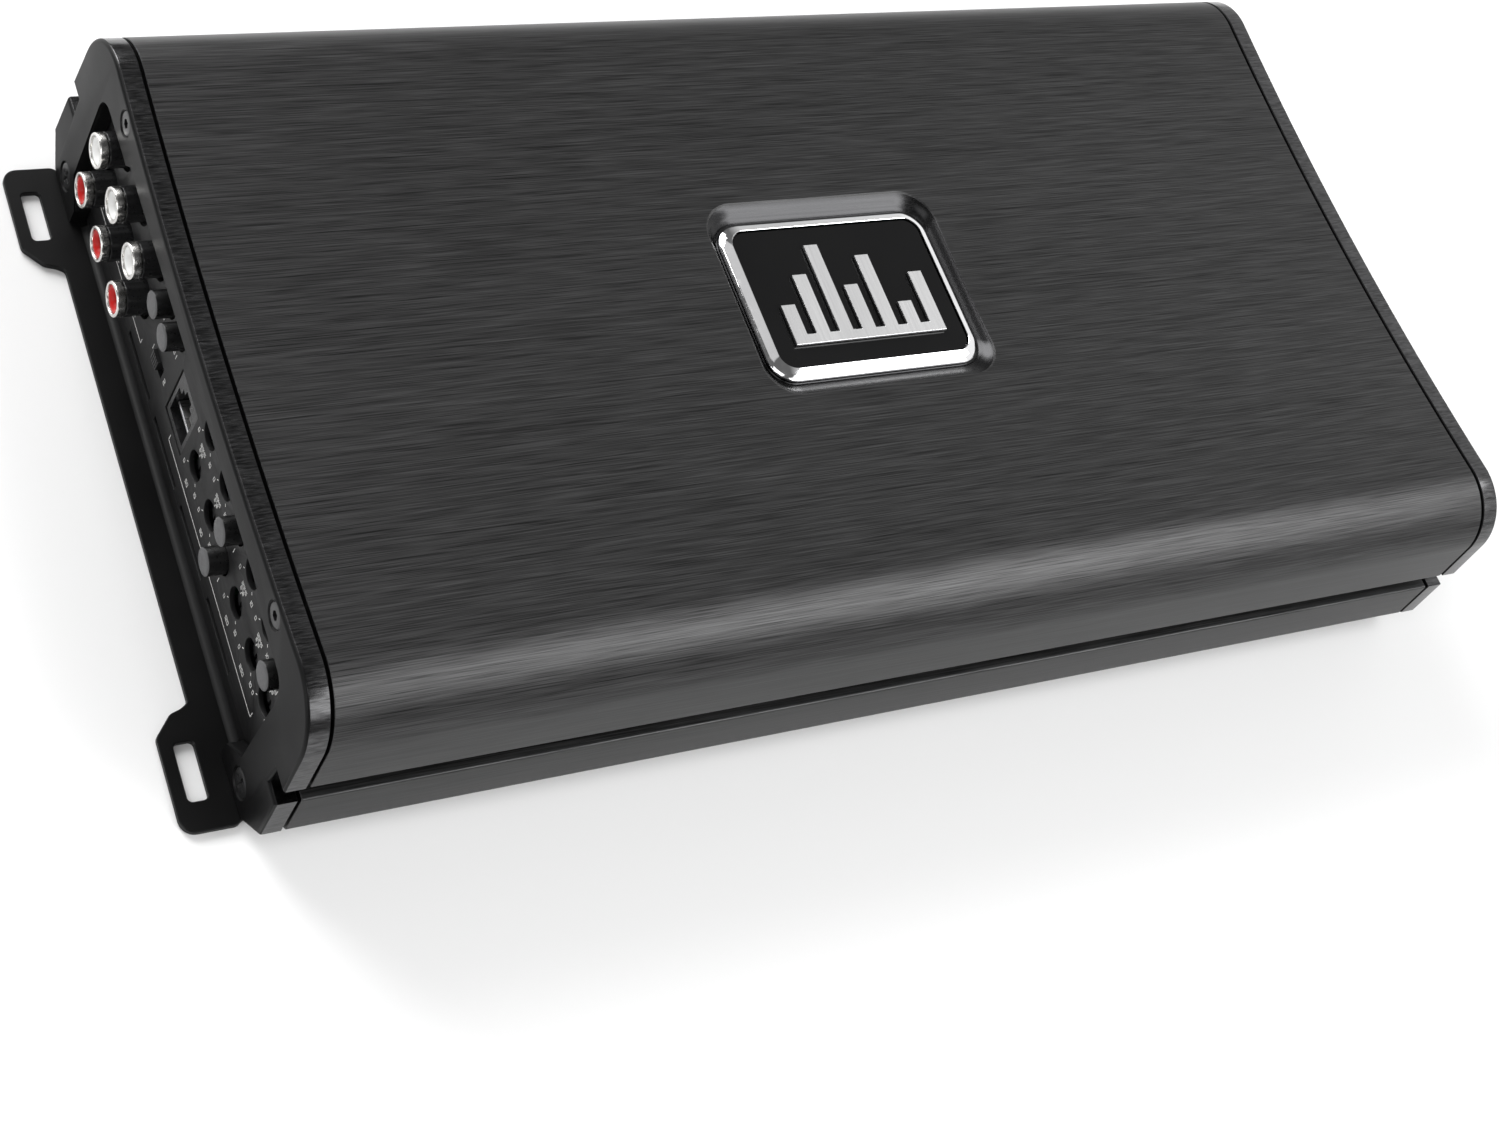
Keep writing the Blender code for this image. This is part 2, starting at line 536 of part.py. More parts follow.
def housing(name, low_yz, high_yz, front_x, back_x, mat, sites, bore, bore_end_x):
    """A moulded housing behind the panel; bore gives the outline of the hole at each site."""
    bm = bmesh.new()
    add_box(bm, (-front_x, *low_yz), (-back_x, *high_yz))
    body = add_object(name, bm, mat)
    bm = bmesh.new()
    for site in sites:
        add_prism(bm, bore(site), -front_x - 1, -bore_end_x)
    cut(body, add_object(name + "_bores", bm, None))


def control_housings():
    gray = material("control_housing", (0.12, 0.12, 0.13), 0.5)
    knob_front = KNOB_FRONT_X - KNOB_HEAD_L - GAP
    bore_end = KNOB_FRONT_X - KNOB_HEAD_L - KNOB_SHAFT_L - BORE_SPARE
    back, high = KNOB_HOUSING_BACK_X, ROW_HIGH_Z + HOUSING_ABOVE

    def round_bore(site):
        return circle(site, KNOB_BORE_R, ROUND)

    def square_bore(site):
        y, z = site
        half = SWITCH_BORE
        return [(y - half, z - half), (y + half, z - half), (y + half, z + half), (y - half, z + half)]

    def knob_housing(name, columns, high_z):
        ys = [COLUMNS_Y[c - 1] for c in columns]
        sites = [site for key, site in KNOBS.items() if int(key.split("_")[1]) in columns]
        low = (min(ys) - KNOB_HOUSING_MARGIN, PARTS_Z)
        far = (max(ys) + KNOB_HOUSING_MARGIN, high_z)
        housing(name, low, far, knob_front, back, gray, sites, round_bore, bore_end)

    def switch_housing(name, keys, low_z):
        sites = [BUTTONS["button_" + key] for key in keys]
        ys = [y for y, _ in sites]
        low = (min(ys) - SWITCH_MARGIN, low_z)
        far = (max(ys) + SWITCH_MARGIN, high)
        housing(name, low, far, SWITCH_FRONT_X, SWITCH_BACK_X, gray, sites, square_bore, SWITCH_BORE_END_X)

    knob_housing("knob_housing_12", (1, 2), high)
    knob_housing("knob_housing_45", (4, 5), high)
    knob_housing("knob_housing_6", (6,), ROW_LOW_Z + HOUSING_ABOVE)
    switch_housing("switch_housing_input", ("input_a", "input_b"), PARTS_Z)
    switch_housing("switch_housing_3", ("3_high", "3_low"), PARTS_Z)
    switch_housing("switch_housing_6", ("6_high",), ROW_LOW_Z + HOUSING_ABOVE + GAP)


def buttons():
    plastic = material("button", (0.045, 0.045, 0.048), 0.35)
    for name, (y, z) in BUTTONS.items():
        profile = [
            (-BUTTON_FACE_X, BUTTON_R - 0.35), (-BUTTON_FACE_X + 0.12, BUTTON_R - 0.12),
            (-BUTTON_FACE_X + 0.4, BUTTON_R), (-BUTTON_BACK_X, BUTTON_R),
        ]
        bm = bmesh.new()
        add_turned(bm, profile, (0.0, 0.0), FINE)
        button = add_object(name, bm, plastic)
        button.location = (0.0, y * MM, z * MM)
        bm = bmesh.new()
        low = (-BUTTON_BACK_X - 1, -BUTTON_STEM, -BUTTON_STEM)
        add_box(bm, low, (-BUTTON_STEM_END_X, BUTTON_STEM, BUTTON_STEM))
        stem = add_object(name + "_stem", bm, None)
        stem.parent = button
        boolean(button, stem, "UNION")


def slide_switch():
    """Lever on a flat carrier that slides in the pocket of its frame."""
    plastic = material("slide_lever", (0.09, 0.09, 0.095), 0.45)
    metal = material("slide_frame", (0.45, 0.45, 0.46), 0.35, 0.9)
    rest_y = SLIDE_Y + (SLIDE_SLOT[0] - SLIDE_LEVER_W) / 2 - 0.1
    half_z = SLIDE_SLOT[1] / 2 - 0.2
    bm = bmesh.new()
    carrier_front, carrier_back = SLIDE_CARRIER_XS
    half_y, carrier_half_z = SLIDE_CARRIER_HALF
    low = (-SLIDE_LEVER_FRONT_X, rest_y - SLIDE_LEVER_W / 2, SLIDE_Z - half_z)
    add_box(bm, low, (-carrier_front + 0.5, rest_y + SLIDE_LEVER_W / 2, SLIDE_Z + half_z))
    lever = add_object("slide_lever", bm, plastic)
    bm = bmesh.new()
    low = (-carrier_front, rest_y - half_y, SLIDE_Z - carrier_half_z)
    add_box(bm, low, (-carrier_back, rest_y + half_y, SLIDE_Z + carrier_half_z))
    boolean(lever, add_object("slide_carrier", bm, None), "UNION")

    bm = bmesh.new()
    front, back = SLIDE_FRAME_XS
    low = (-front, SLIDE_Y - SLIDE_FRAME_HALF_W, PARTS_Z)
    add_box(bm, low, (-back, SLIDE_Y + SLIDE_FRAME_HALF_W, SLIDE_Z + SLIDE_FRAME_ABOVE))
    frame = add_object("slide_frame", bm, metal)
    bm = bmesh.new()
    front, back = SLIDE_POCKET_XS
    half_y, half_z = SLIDE_POCKET_HALF
    low = (-front, SLIDE_Y - half_y, SLIDE_Z - half_z)
    add_box(bm, low, (-back, SLIDE_Y + half_y, SLIDE_Z + half_z))
    cut(frame, add_object("slide_pocket", bm, None))


def remote_socket():
    """Modular phone-style socket for a wired remote level control."""
    plastic = material("remote_socket", (0.03, 0.03, 0.03), 0.4)
    half_w, half_h = REMOTE_SIZE[0] / 2, REMOTE_SIZE[1] / 2
    front, back = REMOTE_FRONT_X, REMOTE_BACK_X
    low = (-front, REMOTE_Y - half_w, REMOTE_Z - half_h)
    bm = bmesh.new()
    add_box(bm, low, (-back, REMOTE_Y + half_w, REMOTE_Z + half_h))
    socket = add_object("remote_socket", bm, plastic)
    bm = bmesh.new()
    low = (-(PANEL_FACE_X - PANEL_T - GAP), REMOTE_Y - half_w, PARTS_Z)
    add_box(bm, low, (-back, REMOTE_Y + half_w, REMOTE_Z - half_h + 1))
    boolean(socket, add_object("remote_foot", bm, None), "UNION")
    (wide, first), (middle, second), (narrow, third) = REMOTE_MOUTH_STEPS
    half = [(wide, REMOTE_MOUTH_LOW_Z), (wide, first), (middle, first), (middle, second), (narrow, second)]
    half.append((narrow, third))
    mouth = half + [(-y, z) for y, z in reversed(half)]
    bm = bmesh.new()
    outline = [(REMOTE_Y + y, REMOTE_Z + z) for y, z in mouth]
    add_prism(bm, outline, -front - 1, -back - REMOTE_MOUTH_WALL)
    cut(socket, add_object("remote_mouth", bm, None))


def speaker_entry_ys():
    count = int((SPEAKER_Y[1] - SPEAKER_Y[0]) // SPEAKER_PITCH)
    middle = sum(SPEAKER_Y) / 2
    return [middle + (i - (count - 1) / 2) * SPEAKER_PITCH for i in range(count)]


def terminal_blocks():
    black = material("terminal_block", (0.02, 0.02, 0.022), 0.45)
    for name, (low_y, high_y) in (("speaker_terminals", SPEAKER_Y), ("power_terminals", POWER_Y)):
        bm = bmesh.new()
        add_box(bm, (BLOCK_BACK_X, low_y, PARTS_Z), (BLOCK_FACE_X, high_y, BLOCK_TOP_Z))
        block = add_object(name, bm, black)
        bm = bmesh.new()
        inner, outer = BLOCK_FACE_X - ENTRY_DEPTH, BLOCK_FACE_X + 1
        if name.startswith("speaker"):
            squares = [(y, SPEAKER_ENTRY_Z, SPEAKER_ENTRY / 2) for y in speaker_entry_ys()]
        else:
            squares = [(REMOTE_ENTRY_Y, SPEAKER_ENTRY_Z, REMOTE_ENTRY / 2)]
            for y in POWER_ENTRY_YS:
                add_prism(bm, circle((y, POWER_ENTRY_Z), POWER_ENTRY_R, ROUND), inner, outer)
        for y, z, half in squares:
            add_box(bm, (inner, y - half, z - half), (outer, y + half, z + half))
        cut(block, add_object(name + "_entries", bm, None))


def power_supply():
    """The large parts on the board: toroidal transformer, storage capacitors and transistors."""
    copper = material("transformer", (0.35, 0.14, 0.05), 0.4, 0.6)
    sleeve = material("capacitor", (0.03, 0.03, 0.07), 0.3)
    dark = material("transistor_bank", (0.05, 0.05, 0.055), 0.5)
    loops = []
    for i in range(TOROID_STEPS):
        turn = 2 * math.pi * i / TOROID_STEPS
        section = []
        for radial, up in circle((0.0, 0.0), 1.0, TOROID_SIDES):
            reach = TOROID_R + TOROID_WIRE_R * radial
            z = PARTS_Z + TOROID_HALF_H * (1 + up / math.cos(math.pi / TOROID_SIDES))
            section.append((TOROID_X + reach * math.cos(turn), reach * math.sin(turn), z))
        loops.append(section)
    bm = bmesh.new()
    add_loops(bm, loops, closed=True)
    add_object("toroid_transformer", bm, copper)
    for number, y in enumerate(CAPACITOR_YS, start=1):
        bm = bmesh.new()
        add_slab(bm, circle((CAPACITOR_X, y), CAPACITOR_R, FINE), PARTS_Z, CAPACITOR_TOP_Z)
        add_object(f"capacitor_{number}", bm, sleeve)
    bm = bmesh.new()
    add_box(bm, TRANSISTORS_LOW, TRANSISTORS_HIGH)
    add_object("transistor_bank", bm, dark)


def main():
    clear_scene()
    heatsink()
    end_cap("control_end_cap", -1)
    end_cap("power_end_cap", 1)
    cap_screws("control", -1)
    cap_screws("power", 1)
    base_plate()
    panel("control_panel", -1, control_openings)
    panel("power_panel", 1, power_openings)
    circuit_board()
    badge()
    input_sockets()
    knobs()
    control_housings()
    buttons()
    slide_switch()
    remote_socket()
    terminal_blocks()
    power_supply()


main()
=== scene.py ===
"""Looks of the car amplifier: brushed case, satin end caps, chrome-framed badge and control panel."""

import math

import bmesh
import bpy
from mathutils import Matrix, Vector


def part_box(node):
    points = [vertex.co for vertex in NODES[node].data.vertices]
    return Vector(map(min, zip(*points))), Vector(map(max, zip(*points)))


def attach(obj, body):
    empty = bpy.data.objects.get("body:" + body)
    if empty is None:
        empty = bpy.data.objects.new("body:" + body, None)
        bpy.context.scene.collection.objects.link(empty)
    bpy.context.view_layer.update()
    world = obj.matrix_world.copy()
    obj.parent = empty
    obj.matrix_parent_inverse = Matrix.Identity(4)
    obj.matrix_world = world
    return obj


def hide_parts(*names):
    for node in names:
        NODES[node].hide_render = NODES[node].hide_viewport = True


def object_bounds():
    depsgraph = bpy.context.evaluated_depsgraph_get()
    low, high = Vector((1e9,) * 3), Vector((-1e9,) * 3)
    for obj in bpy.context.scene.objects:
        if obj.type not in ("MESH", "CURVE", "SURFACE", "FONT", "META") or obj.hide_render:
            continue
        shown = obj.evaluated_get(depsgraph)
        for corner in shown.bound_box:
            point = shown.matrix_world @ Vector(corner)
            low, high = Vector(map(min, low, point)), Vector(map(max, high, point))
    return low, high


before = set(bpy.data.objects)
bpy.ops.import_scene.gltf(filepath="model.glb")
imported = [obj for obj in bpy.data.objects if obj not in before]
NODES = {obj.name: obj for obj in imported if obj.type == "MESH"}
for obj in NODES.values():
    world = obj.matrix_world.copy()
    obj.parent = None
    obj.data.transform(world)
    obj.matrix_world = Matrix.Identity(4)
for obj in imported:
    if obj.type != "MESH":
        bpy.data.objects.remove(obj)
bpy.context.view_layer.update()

MM = 0.001
BODY = "amplifier"

# The case's cross-section, in millimetres, as in the CAD model.
CASE_Z = 1.8
RAIL_FOOT_Y = 83.4
RAIL_Y, RAIL_LOW_Z = 90.0, 9.2
RAIL_TOP_Y, RAIL_TOP_Z = 89.25, 22.3
GROOVE_Y, GROOVE_TOP_Z = 84.0, 28.3
SIDE_LEAN = 0.0736
SHOULDER_R, SHOULDER_Y, SHOULDER_Z, DISH_Z = 14.8, 72.3, 55.0, 52.13
SHOULDER_STEPS, DISH_STEPS = 24, 36
WINDOW_Y, WINDOW_Z, WINDOW_BOSS_Y, WINDOW_BOSS_Z, WINDOW_R = 73.8, 45.9, 54.0, 43.85, 5.0
WINDOW_FOOT_Y, WINDOW_CHAMFER_LOW_Z, WINDOW_CHAMFER_HIGH_Z = 67.9, 6.5, 12.6
PANEL_MARGIN, PANEL_GAP = 1.6, 0.3
CAP_EDGE, CAP_STEPS, WINDOW_EDGE = 0.9, 6, 0.12
ROUND = 48

# Base plate and its slotted feet.
PLATE_T, PLATE_EDGE, PLATE_SIDE_Y, STRIP_X = 1.5, 0.22, 83.0, 167.8
FOOT_R, FOOT_CHAMFER, FOOT_STEP_XS = 3.5, [(169.6, 56.4), (172.3, 57.2)], (164.5, 163.0)
FOOT_START_Y, FOOT_SIDE_Y = 55.2, 62.0
SLOT_X, SLOT_Y, SLOT_W, SLOT_L, SLOT_R = 171.2, 70.65, 4.6, 13.4, 1.2
STANDOFF_XS, STANDOFF_YS, STANDOFF_R = (-110.0, 0.0, 110.0), (-62.0, 62.0), 3.0

# Cap screws: head to shank ratio, drive depth, hexagon's corner radius, cross arm and its half width.
HEAD_TO_SHANK, DRIVE_DEPTH, HEX_R, CROSS_ARM, CROSS_HALF_W, CROSS_TAPER = 2.05, 1.2, 1.2, 2.0, 0.4, 0.45

# Badge pocket, bezel and emblem: (half length, half width, corner radius).
POCKET_RIM, POCKET_FLOOR, POCKET_DEPTH = (33.0, 27.0, 9.0), (30.4, 22.6, 7.0), 2.2
BEZEL_INNER, BEZEL_OUTER_R = (27.1, 19.3, 4.2), 6.6
EMBLEM_BARS, EMBLEM_BAR_W = (11.0, 19.0, 27.0, 15.0, 23.0, 9.0, 17.0), 3.9
EMBLEM_PITCH, EMBLEM_FOOT, BADGE_PLATE_R = 6.5, 2.6, 3.9

# Control panel: hole radii, sockets, knobs and buttons.
SOCKET_HOLE_R, KNOB_HOLE_R, BUTTON_HOLE_R = 5.1, 3.5, 3.6
BARREL_R, BARREL_MOUTH_R, BARREL_BORE_R, BARREL_NECK_R, BARREL_RING_L = 4.17, 3.35, 2.6, 3.0, 2.0
CORE_R, CORE_STEM_R, CORE_HOLE_R = 3.3, 2.3, 1.6
KNOB_R, KNOB_SHAFT_R, KNOB_HEAD_L, KNOB_SLOT_HALF_W = 3.0, 1.5, 1.4, 0.45
BUTTON_R, BUTTON_L, STEM_HALF = 3.2, 6.8, 1.5
REMOTE_H, TONGUE_HALF_W, CONTACTS, CONTACT_PITCH, CONTACT_W = 15.4, 4.7, 6, 1.02, 0.34
SLIDE_ABOVE, SLIDE_HALF_W, SLIDE_HALF_H, GRIP_RIBS, GRIP_PITCH = 4.4, 2.95, 1.7, 4, 0.8
PANEL_SLOT_YS, PANEL_SLOT_HALF_L, PANEL_SLOT_ZS = (24.0, 1.3, -21.4, -44.1), 9.0, (7.25, 8.95)
PRINT_OUT, PRINT_IN = 0.04, 0.02
SHEET_FOOT_R, SHEET_FOOT_Y = 1.8, 66.5

# Power end: terminals.
POLES, POLE_PITCH, POLE_SCREW_Z, POLE_SCREW_R, POWER_MARK_Z = 10, 8.6, 28.2, 2.4, 37.6
SUPPLY_YS, SUPPLY_SCREW_Z, SUPPLY_SCREW_R, TURN_ON_Y = {"supply": 35.0, "ground": 50.0}, 30.2, 3.1, 63.5


# ---------------------------------------------------------------- mesh helpers

def box_mm(node):
    """Lowest and highest corner of a CAD node, in millimetres."""
    low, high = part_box(node)
    return [c / MM for c in low], [c / MM for c in high]


def middle_mm(node):
    """Middle of a CAD node's box, in millimetres."""
    low, high = box_mm(node)
    return [(a + b) / 2 for a, b in zip(low, high)]


def middle_yz(node):
    """(y, z) of a CAD node's middle, in millimetres."""
    return tuple(middle_mm(node)[1:])


def add_loops(bm, loops, closed=False):
    """Skin a list of loops with equal point counts; the ends are filled, or joined when closed."""
    rings = [[bm.verts.new([c * MM for c in point]) for point in loop] for loop in loops]
    pairs = list(zip(rings, rings[1:]))
    if closed:
        pairs.append((rings[-1], rings[0]))
    faces = []
    for first, second in pairs:
        for i in range(len(first)):
            j = (i + 1) % len(first)
            faces.append(bm.faces.new((first[i], first[j], second[j], second[i])))
    if not closed:
        faces.append(bm.faces.new(rings[0][::-1]))
        faces.append(bm.faces.new(rings[-1]))
    volume = 0.0
    for face in faces:
        corners = [v.co for v in face.verts]
        volume += sum(corners[0].dot(b.cross(c)) for b, c in zip(corners[1:], corners[2:]))
    if volume < 0:
        for face in faces:
            face.normal_flip()


def add_prism(bm, outline, low_x, high_x):
    add_loops(bm, [[(x, y, z) for y, z in outline] for x in (low_x, high_x)])


def add_slab(bm, outline, low_z, high_z):
    add_loops(bm, [[(x, y, z) for x, y in outline] for z in (low_z, high_z)])


def add_box(bm, low, high):
    corners = [(low[1], low[2]), (high[1], low[2]), (high[1], high[2]), (low[1], high[2])]
    add_prism(bm, corners, low[0], high[0])


def circle(center, radius, segments=ROUND):
    """Points of a whole circle, counter-clockwise from +first axis."""
    angles = [2 * math.pi * i / segments for i in range(segments)]
    return [(center[0] + radius * math.cos(a), center[1] + radius * math.sin(a)) for a in angles]


def add_turned(bm, profile, center, segments=ROUND, closed=False):
    """Turn (x, radius) points about the X-parallel line through center (y, z)."""
    add_loops(bm, [[(x, y, z) for y, z in circle(center, r, segments)] for x, r in profile], closed)


def arc(center, radius, start_deg, end_deg, steps):
    """Points of an arc, with both ends."""
    angles = [math.radians(start_deg + (end_deg - start_deg) * i / steps) for i in range(steps + 1)]
    return [(center[0] + radius * math.cos(a), center[1] + radius * math.sin(a)) for a in angles]


def rounded_rect(half_w, half_h, radius, steps=12):
    points = []
    for sx, sy, start in ((1, 1, 0), (-1, 1, 90), (-1, -1, 180), (1, -1, 270)):
        center = (sx * (half_w - radius), sy * (half_h - radius))
        points += arc(center, radius, start, start + 90, steps)
    return points


def inset(points, distance):
    """Move a closed outline's points inwards by distance, with mitred corners."""
    area = sum(a[0] * b[1] - b[0] * a[1] for a, b in zip(points, points[1:] + points[:1]))
    turn = 1 if area > 0 else -1
    moved = []
    for i, (u, v) in enumerate(points):
        normals = []
        for a, b in ((points[i - 1], points[i]), (points[i], points[(i + 1) % len(points)])):
            length = math.hypot(b[0] - a[0], b[1] - a[1])
            normals.append((-turn * (b[1] - a[1]) / length, turn * (b[0] - a[0]) / length))
        (a0, a1), (b0, b1) = normals
        scale = distance / max(1 + a0 * b0 + a1 * b1, 0.3)
        moved.append((u + (a0 + b0) * scale, v + (a1 + b1) * scale))
    return moved


def mesh_piece(name, bm, mat, body=BODY, replaces=(), smooth_deg=32.0, bevel=0.0):
    """Make bm an object; without a material it is left bare, to be cut and finished later."""
    bm.normal_update()
    mesh = bpy.data.meshes.new(name)
    bm.to_mesh(mesh)
    bm.free()
    obj = bpy.data.objects.new(name, mesh)
    bpy.context.scene.collection.objects.link(obj)
    if mat is not None:
        mesh.materials.append(mat)
        finish_piece(obj, body, replaces, smooth_deg, bevel)
    return obj


def finish_piece(obj, body=BODY, replaces=(), smooth_deg=32.0, bevel=0.0):
    """Round and shade a piece, and set its body and the nodes it replaces."""
    if bevel:
        rounding = obj.modifiers.new("rounding", "BEVEL")
        rounding.width = bevel * MM
        rounding.segments = 2
        rounding.limit_method = "ANGLE"
        rounding.angle_limit = math.radians(40)
        rounding.use_clamp_overlap = True
        apply_modifiers(obj)
    obj.data.shade_smooth()
    obj.data.set_sharp_from_angle(angle=math.radians(smooth_deg))
    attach(obj, body)
    if replaces:
        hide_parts(*replaces)


def apply_modifiers(obj):
    bpy.context.view_layer.update()
    graph = bpy.context.evaluated_depsgraph_get()
    done = bpy.data.meshes.new_from_object(obj.evaluated_get(graph))
    obj.modifiers.clear()
    obj.data = done


def cut(target, bm):
    """Cut the shapes in bm out of target at once."""
    cutter = mesh_piece("cutter", bm, None)
    modifier = target.modifiers.new("cut", "BOOLEAN")
    modifier.operation = "DIFFERENCE"
    modifier.solver = "EXACT"
    modifier.object = cutter
    apply_modifiers(target)
    bpy.data.objects.remove(cutter)


def outer_half_profile():
    """The +Y half of the case's outline, from the base up to the middle of the top."""
    slope = 2 * (SHOULDER_Z - DISH_Z) / SHOULDER_Y
    top_tilt = math.atan(slope)
    side_tilt = math.atan(SIDE_LEAN)
    center = (
        SHOULDER_Y + SHOULDER_R * math.sin(top_tilt),
        SHOULDER_Z - SHOULDER_R * math.cos(top_tilt),
    )
    start, end = math.degrees(side_tilt), 90 + math.degrees(top_tilt)
    shoulder = arc(center, SHOULDER_R, start, end, SHOULDER_STEPS)
    side_top_y, side_top_z = shoulder[0]
    side_y = side_top_y + SIDE_LEAN * (side_top_z - GROOVE_TOP_Z)
    points = [
        (RAIL_FOOT_Y, CASE_Z), (RAIL_Y, RAIL_LOW_Z), (RAIL_TOP_Y, RAIL_TOP_Z), (GROOVE_Y, RAIL_TOP_Z),
        (GROOVE_Y, GROOVE_TOP_Z), (side_y, GROOVE_TOP_Z),
    ]
    points += shoulder
    for i in range(1, DISH_STEPS + 1):
        y = SHOULDER_Y * (1 - i / DISH_STEPS)
        points.append((y, dish_z(y)))
    return points


def dish_z(y):
    """Height of the dished top at y."""
    return DISH_Z + (SHOULDER_Z - DISH_Z) * (y / SHOULDER_Y) ** 2


def mirrored(half):
    """Complete a +Y half outline with its -Y half."""
    return half + [(-y, z) for y, z in reversed(half) if y > 0]


def soften(outline, radius, smallest_deg=25.0, steps=6):
    """Round every clear corner of a closed outline with a small arc-like blend."""
    points = []
    for i, corner in enumerate(outline):
        before, after = Vector(outline[i - 1]), Vector(outline[(i + 1) % len(outline)])
        here = Vector(corner)
        back, ahead = before - here, after - here
        turn = math.pi - back.angle(ahead)
        reach = min(radius, back.length * 0.45, ahead.length * 0.45)
        if math.degrees(turn) < smallest_deg:
            points.append(corner)
            continue
        start, end = here + back.normalized() * reach, here + ahead.normalized() * reach
        for k in range(steps + 1):
            t = k / steps
            points.append(tuple(start * (1 - t) ** 2 + here * 2 * t * (1 - t) + end * t ** 2))
    return points


# ---------------------------------------------------------------- materials

def new_material(name, color, roughness, metallic=0.0, specular=0.5):
    mat = bpy.data.materials.new(name)
    mat.use_nodes = True
    shader = mat.node_tree.nodes["Principled BSDF"]
    shader.inputs["Base Color"].default_value = (*color, 1.0)
    shader.inputs["Roughness"].default_value = roughness
    shader.inputs["Metallic"].default_value = metallic
    shader.inputs["Specular IOR Level"].default_value = specular
    return mat, mat.node_tree, shader


def scaled_noise(tree, scale, detail=4.0, roughness=0.55, offset=0.0):
    """A noise pattern in the piece's own metres, stretched by scale along each axis."""
    nodes, links = tree.nodes, tree.links
    where = nodes.new("ShaderNodeTexCoord")
    mapping = nodes.new("ShaderNodeMapping")
    mapping.inputs["Scale"].default_value = scale
    mapping.inputs["Location"].default_value = (offset, offset, offset)
    noise = nodes.new("ShaderNodeTexNoise")
    noise.inputs["Scale"].default_value = 1.0
    noise.inputs["Detail"].default_value = detail
    noise.inputs["Roughness"].default_value = roughness
    links.new(where.outputs["Object"], mapping.inputs["Vector"])
    links.new(mapping.outputs["Vector"], noise.inputs["Vector"])
    return noise.outputs["Fac"]


def remap(tree, value, low, high, from_low=0.3, from_high=0.7):
    node = tree.nodes.new("ShaderNodeMapRange")
    node.inputs["From Min"].default_value = from_low
    node.inputs["From Max"].default_value = from_high
    node.inputs["To Min"].default_value = low
    node.inputs["To Max"].default_value = high
    tree.links.new(value, node.inputs["Value"])
    return node.outputs["Result"]


def arithmetic(tree, operation, first, second):
    node = tree.nodes.new("ShaderNodeMath")
    node.operation = operation
    for socket, value in zip(node.inputs, (first, second)):
        if isinstance(value, (int, float)):
            socket.default_value = value
        else:
            tree.links.new(value, socket)
    return node.outputs["Value"]


def tint(tree, color, factor):
    """color times a varying factor."""
    node = tree.nodes.new("ShaderNodeVectorMath")
    node.operation = "SCALE"
    node.inputs[0].default_value = color
    tree.links.new(factor, node.inputs["Scale"])
    return node.outputs["Vector"]


def add_bump(tree, shader, height, strength, distance):
    bump = tree.nodes.new("ShaderNodeBump")
    bump.inputs["Strength"].default_value = strength
    bump.inputs["Distance"].default_value = distance
    tree.links.new(height, bump.inputs["Height"])
    tree.links.new(bump.outputs["Normal"], shader.inputs["Normal"])


def brushed_metal(name, color, roughness, grain, contrast=0.3, bump=0.25):
    """Metal brushed along one axis; grain is (fine, middle, broad) noise scales per metre."""
    mat, tree, shader = new_material(name, color, roughness, 1.0)
    fine, middle, broad = (scaled_noise(tree, scale, 2.0, 0.6, 3.7 * i) for i, scale in enumerate(grain))
    weak = 0.35 * contrast
    streaks = arithmetic(
        tree, "ADD", remap(tree, fine, -contrast, contrast), remap(tree, middle, -weak, weak),
    )
    shade = arithmetic(tree, "ADD", streaks, remap(tree, broad, 0.94, 1.06))
    tree.links.new(tint(tree, color, shade), shader.inputs["Base Color"])
    tree.links.new(remap(tree, fine, roughness - 0.05, roughness + 0.05), shader.inputs["Roughness"])
    add_bump(tree, shader, fine, bump, 0.00002)
    return mat


def painted(name, color, roughness, grain=2600.0, bump=0.12, specular=0.5):
    """Satin paint or powder coat with a fine orange-peel grain and faint wear."""
    mat, tree, shader = new_material(name, color, roughness, 0.0, specular)
    fine = scaled_noise(tree, (grain, grain, grain), 2.0, 0.6)
    broad = scaled_noise(tree, (35.0, 35.0, 35.0), 3.0, 0.6, 5.0)
    shade = remap(tree, broad, 0.86, 1.14)
    tree.links.new(tint(tree, color, shade), shader.inputs["Base Color"])
    tree.links.new(remap(tree, broad, roughness - 0.05, roughness + 0.06), shader.inputs["Roughness"])
    add_bump(tree, shader, fine, bump, 0.00003)
    return mat


def moulded(name, color, roughness, grain=1500.0, bump=0.15, specular=0.5):
    """Moulded plastic with a fine spark-eroded grain."""
    mat, tree, shader = new_material(name, color, roughness, 0.0, specular)
    fine = scaled_noise(tree, (grain, grain, grain), 3.0, 0.65)
    broad = scaled_noise(tree, (120.0, 120.0, 120.0), 2.0, 0.5, 2.0)
    tree.links.new(tint(tree, color, remap(tree, broad, 0.9, 1.1)), shader.inputs["Base Color"])
    tree.links.new(remap(tree, fine, roughness - 0.05, roughness + 0.07), shader.inputs["Roughness"])
    add_bump(tree, shader, fine, bump, 0.00002)
    return mat


def even_grain(fine):
    """Noise scales of a finish with no direction."""
    return [(scale, scale, scale) for scale in (fine, fine / 3, fine / 12)]


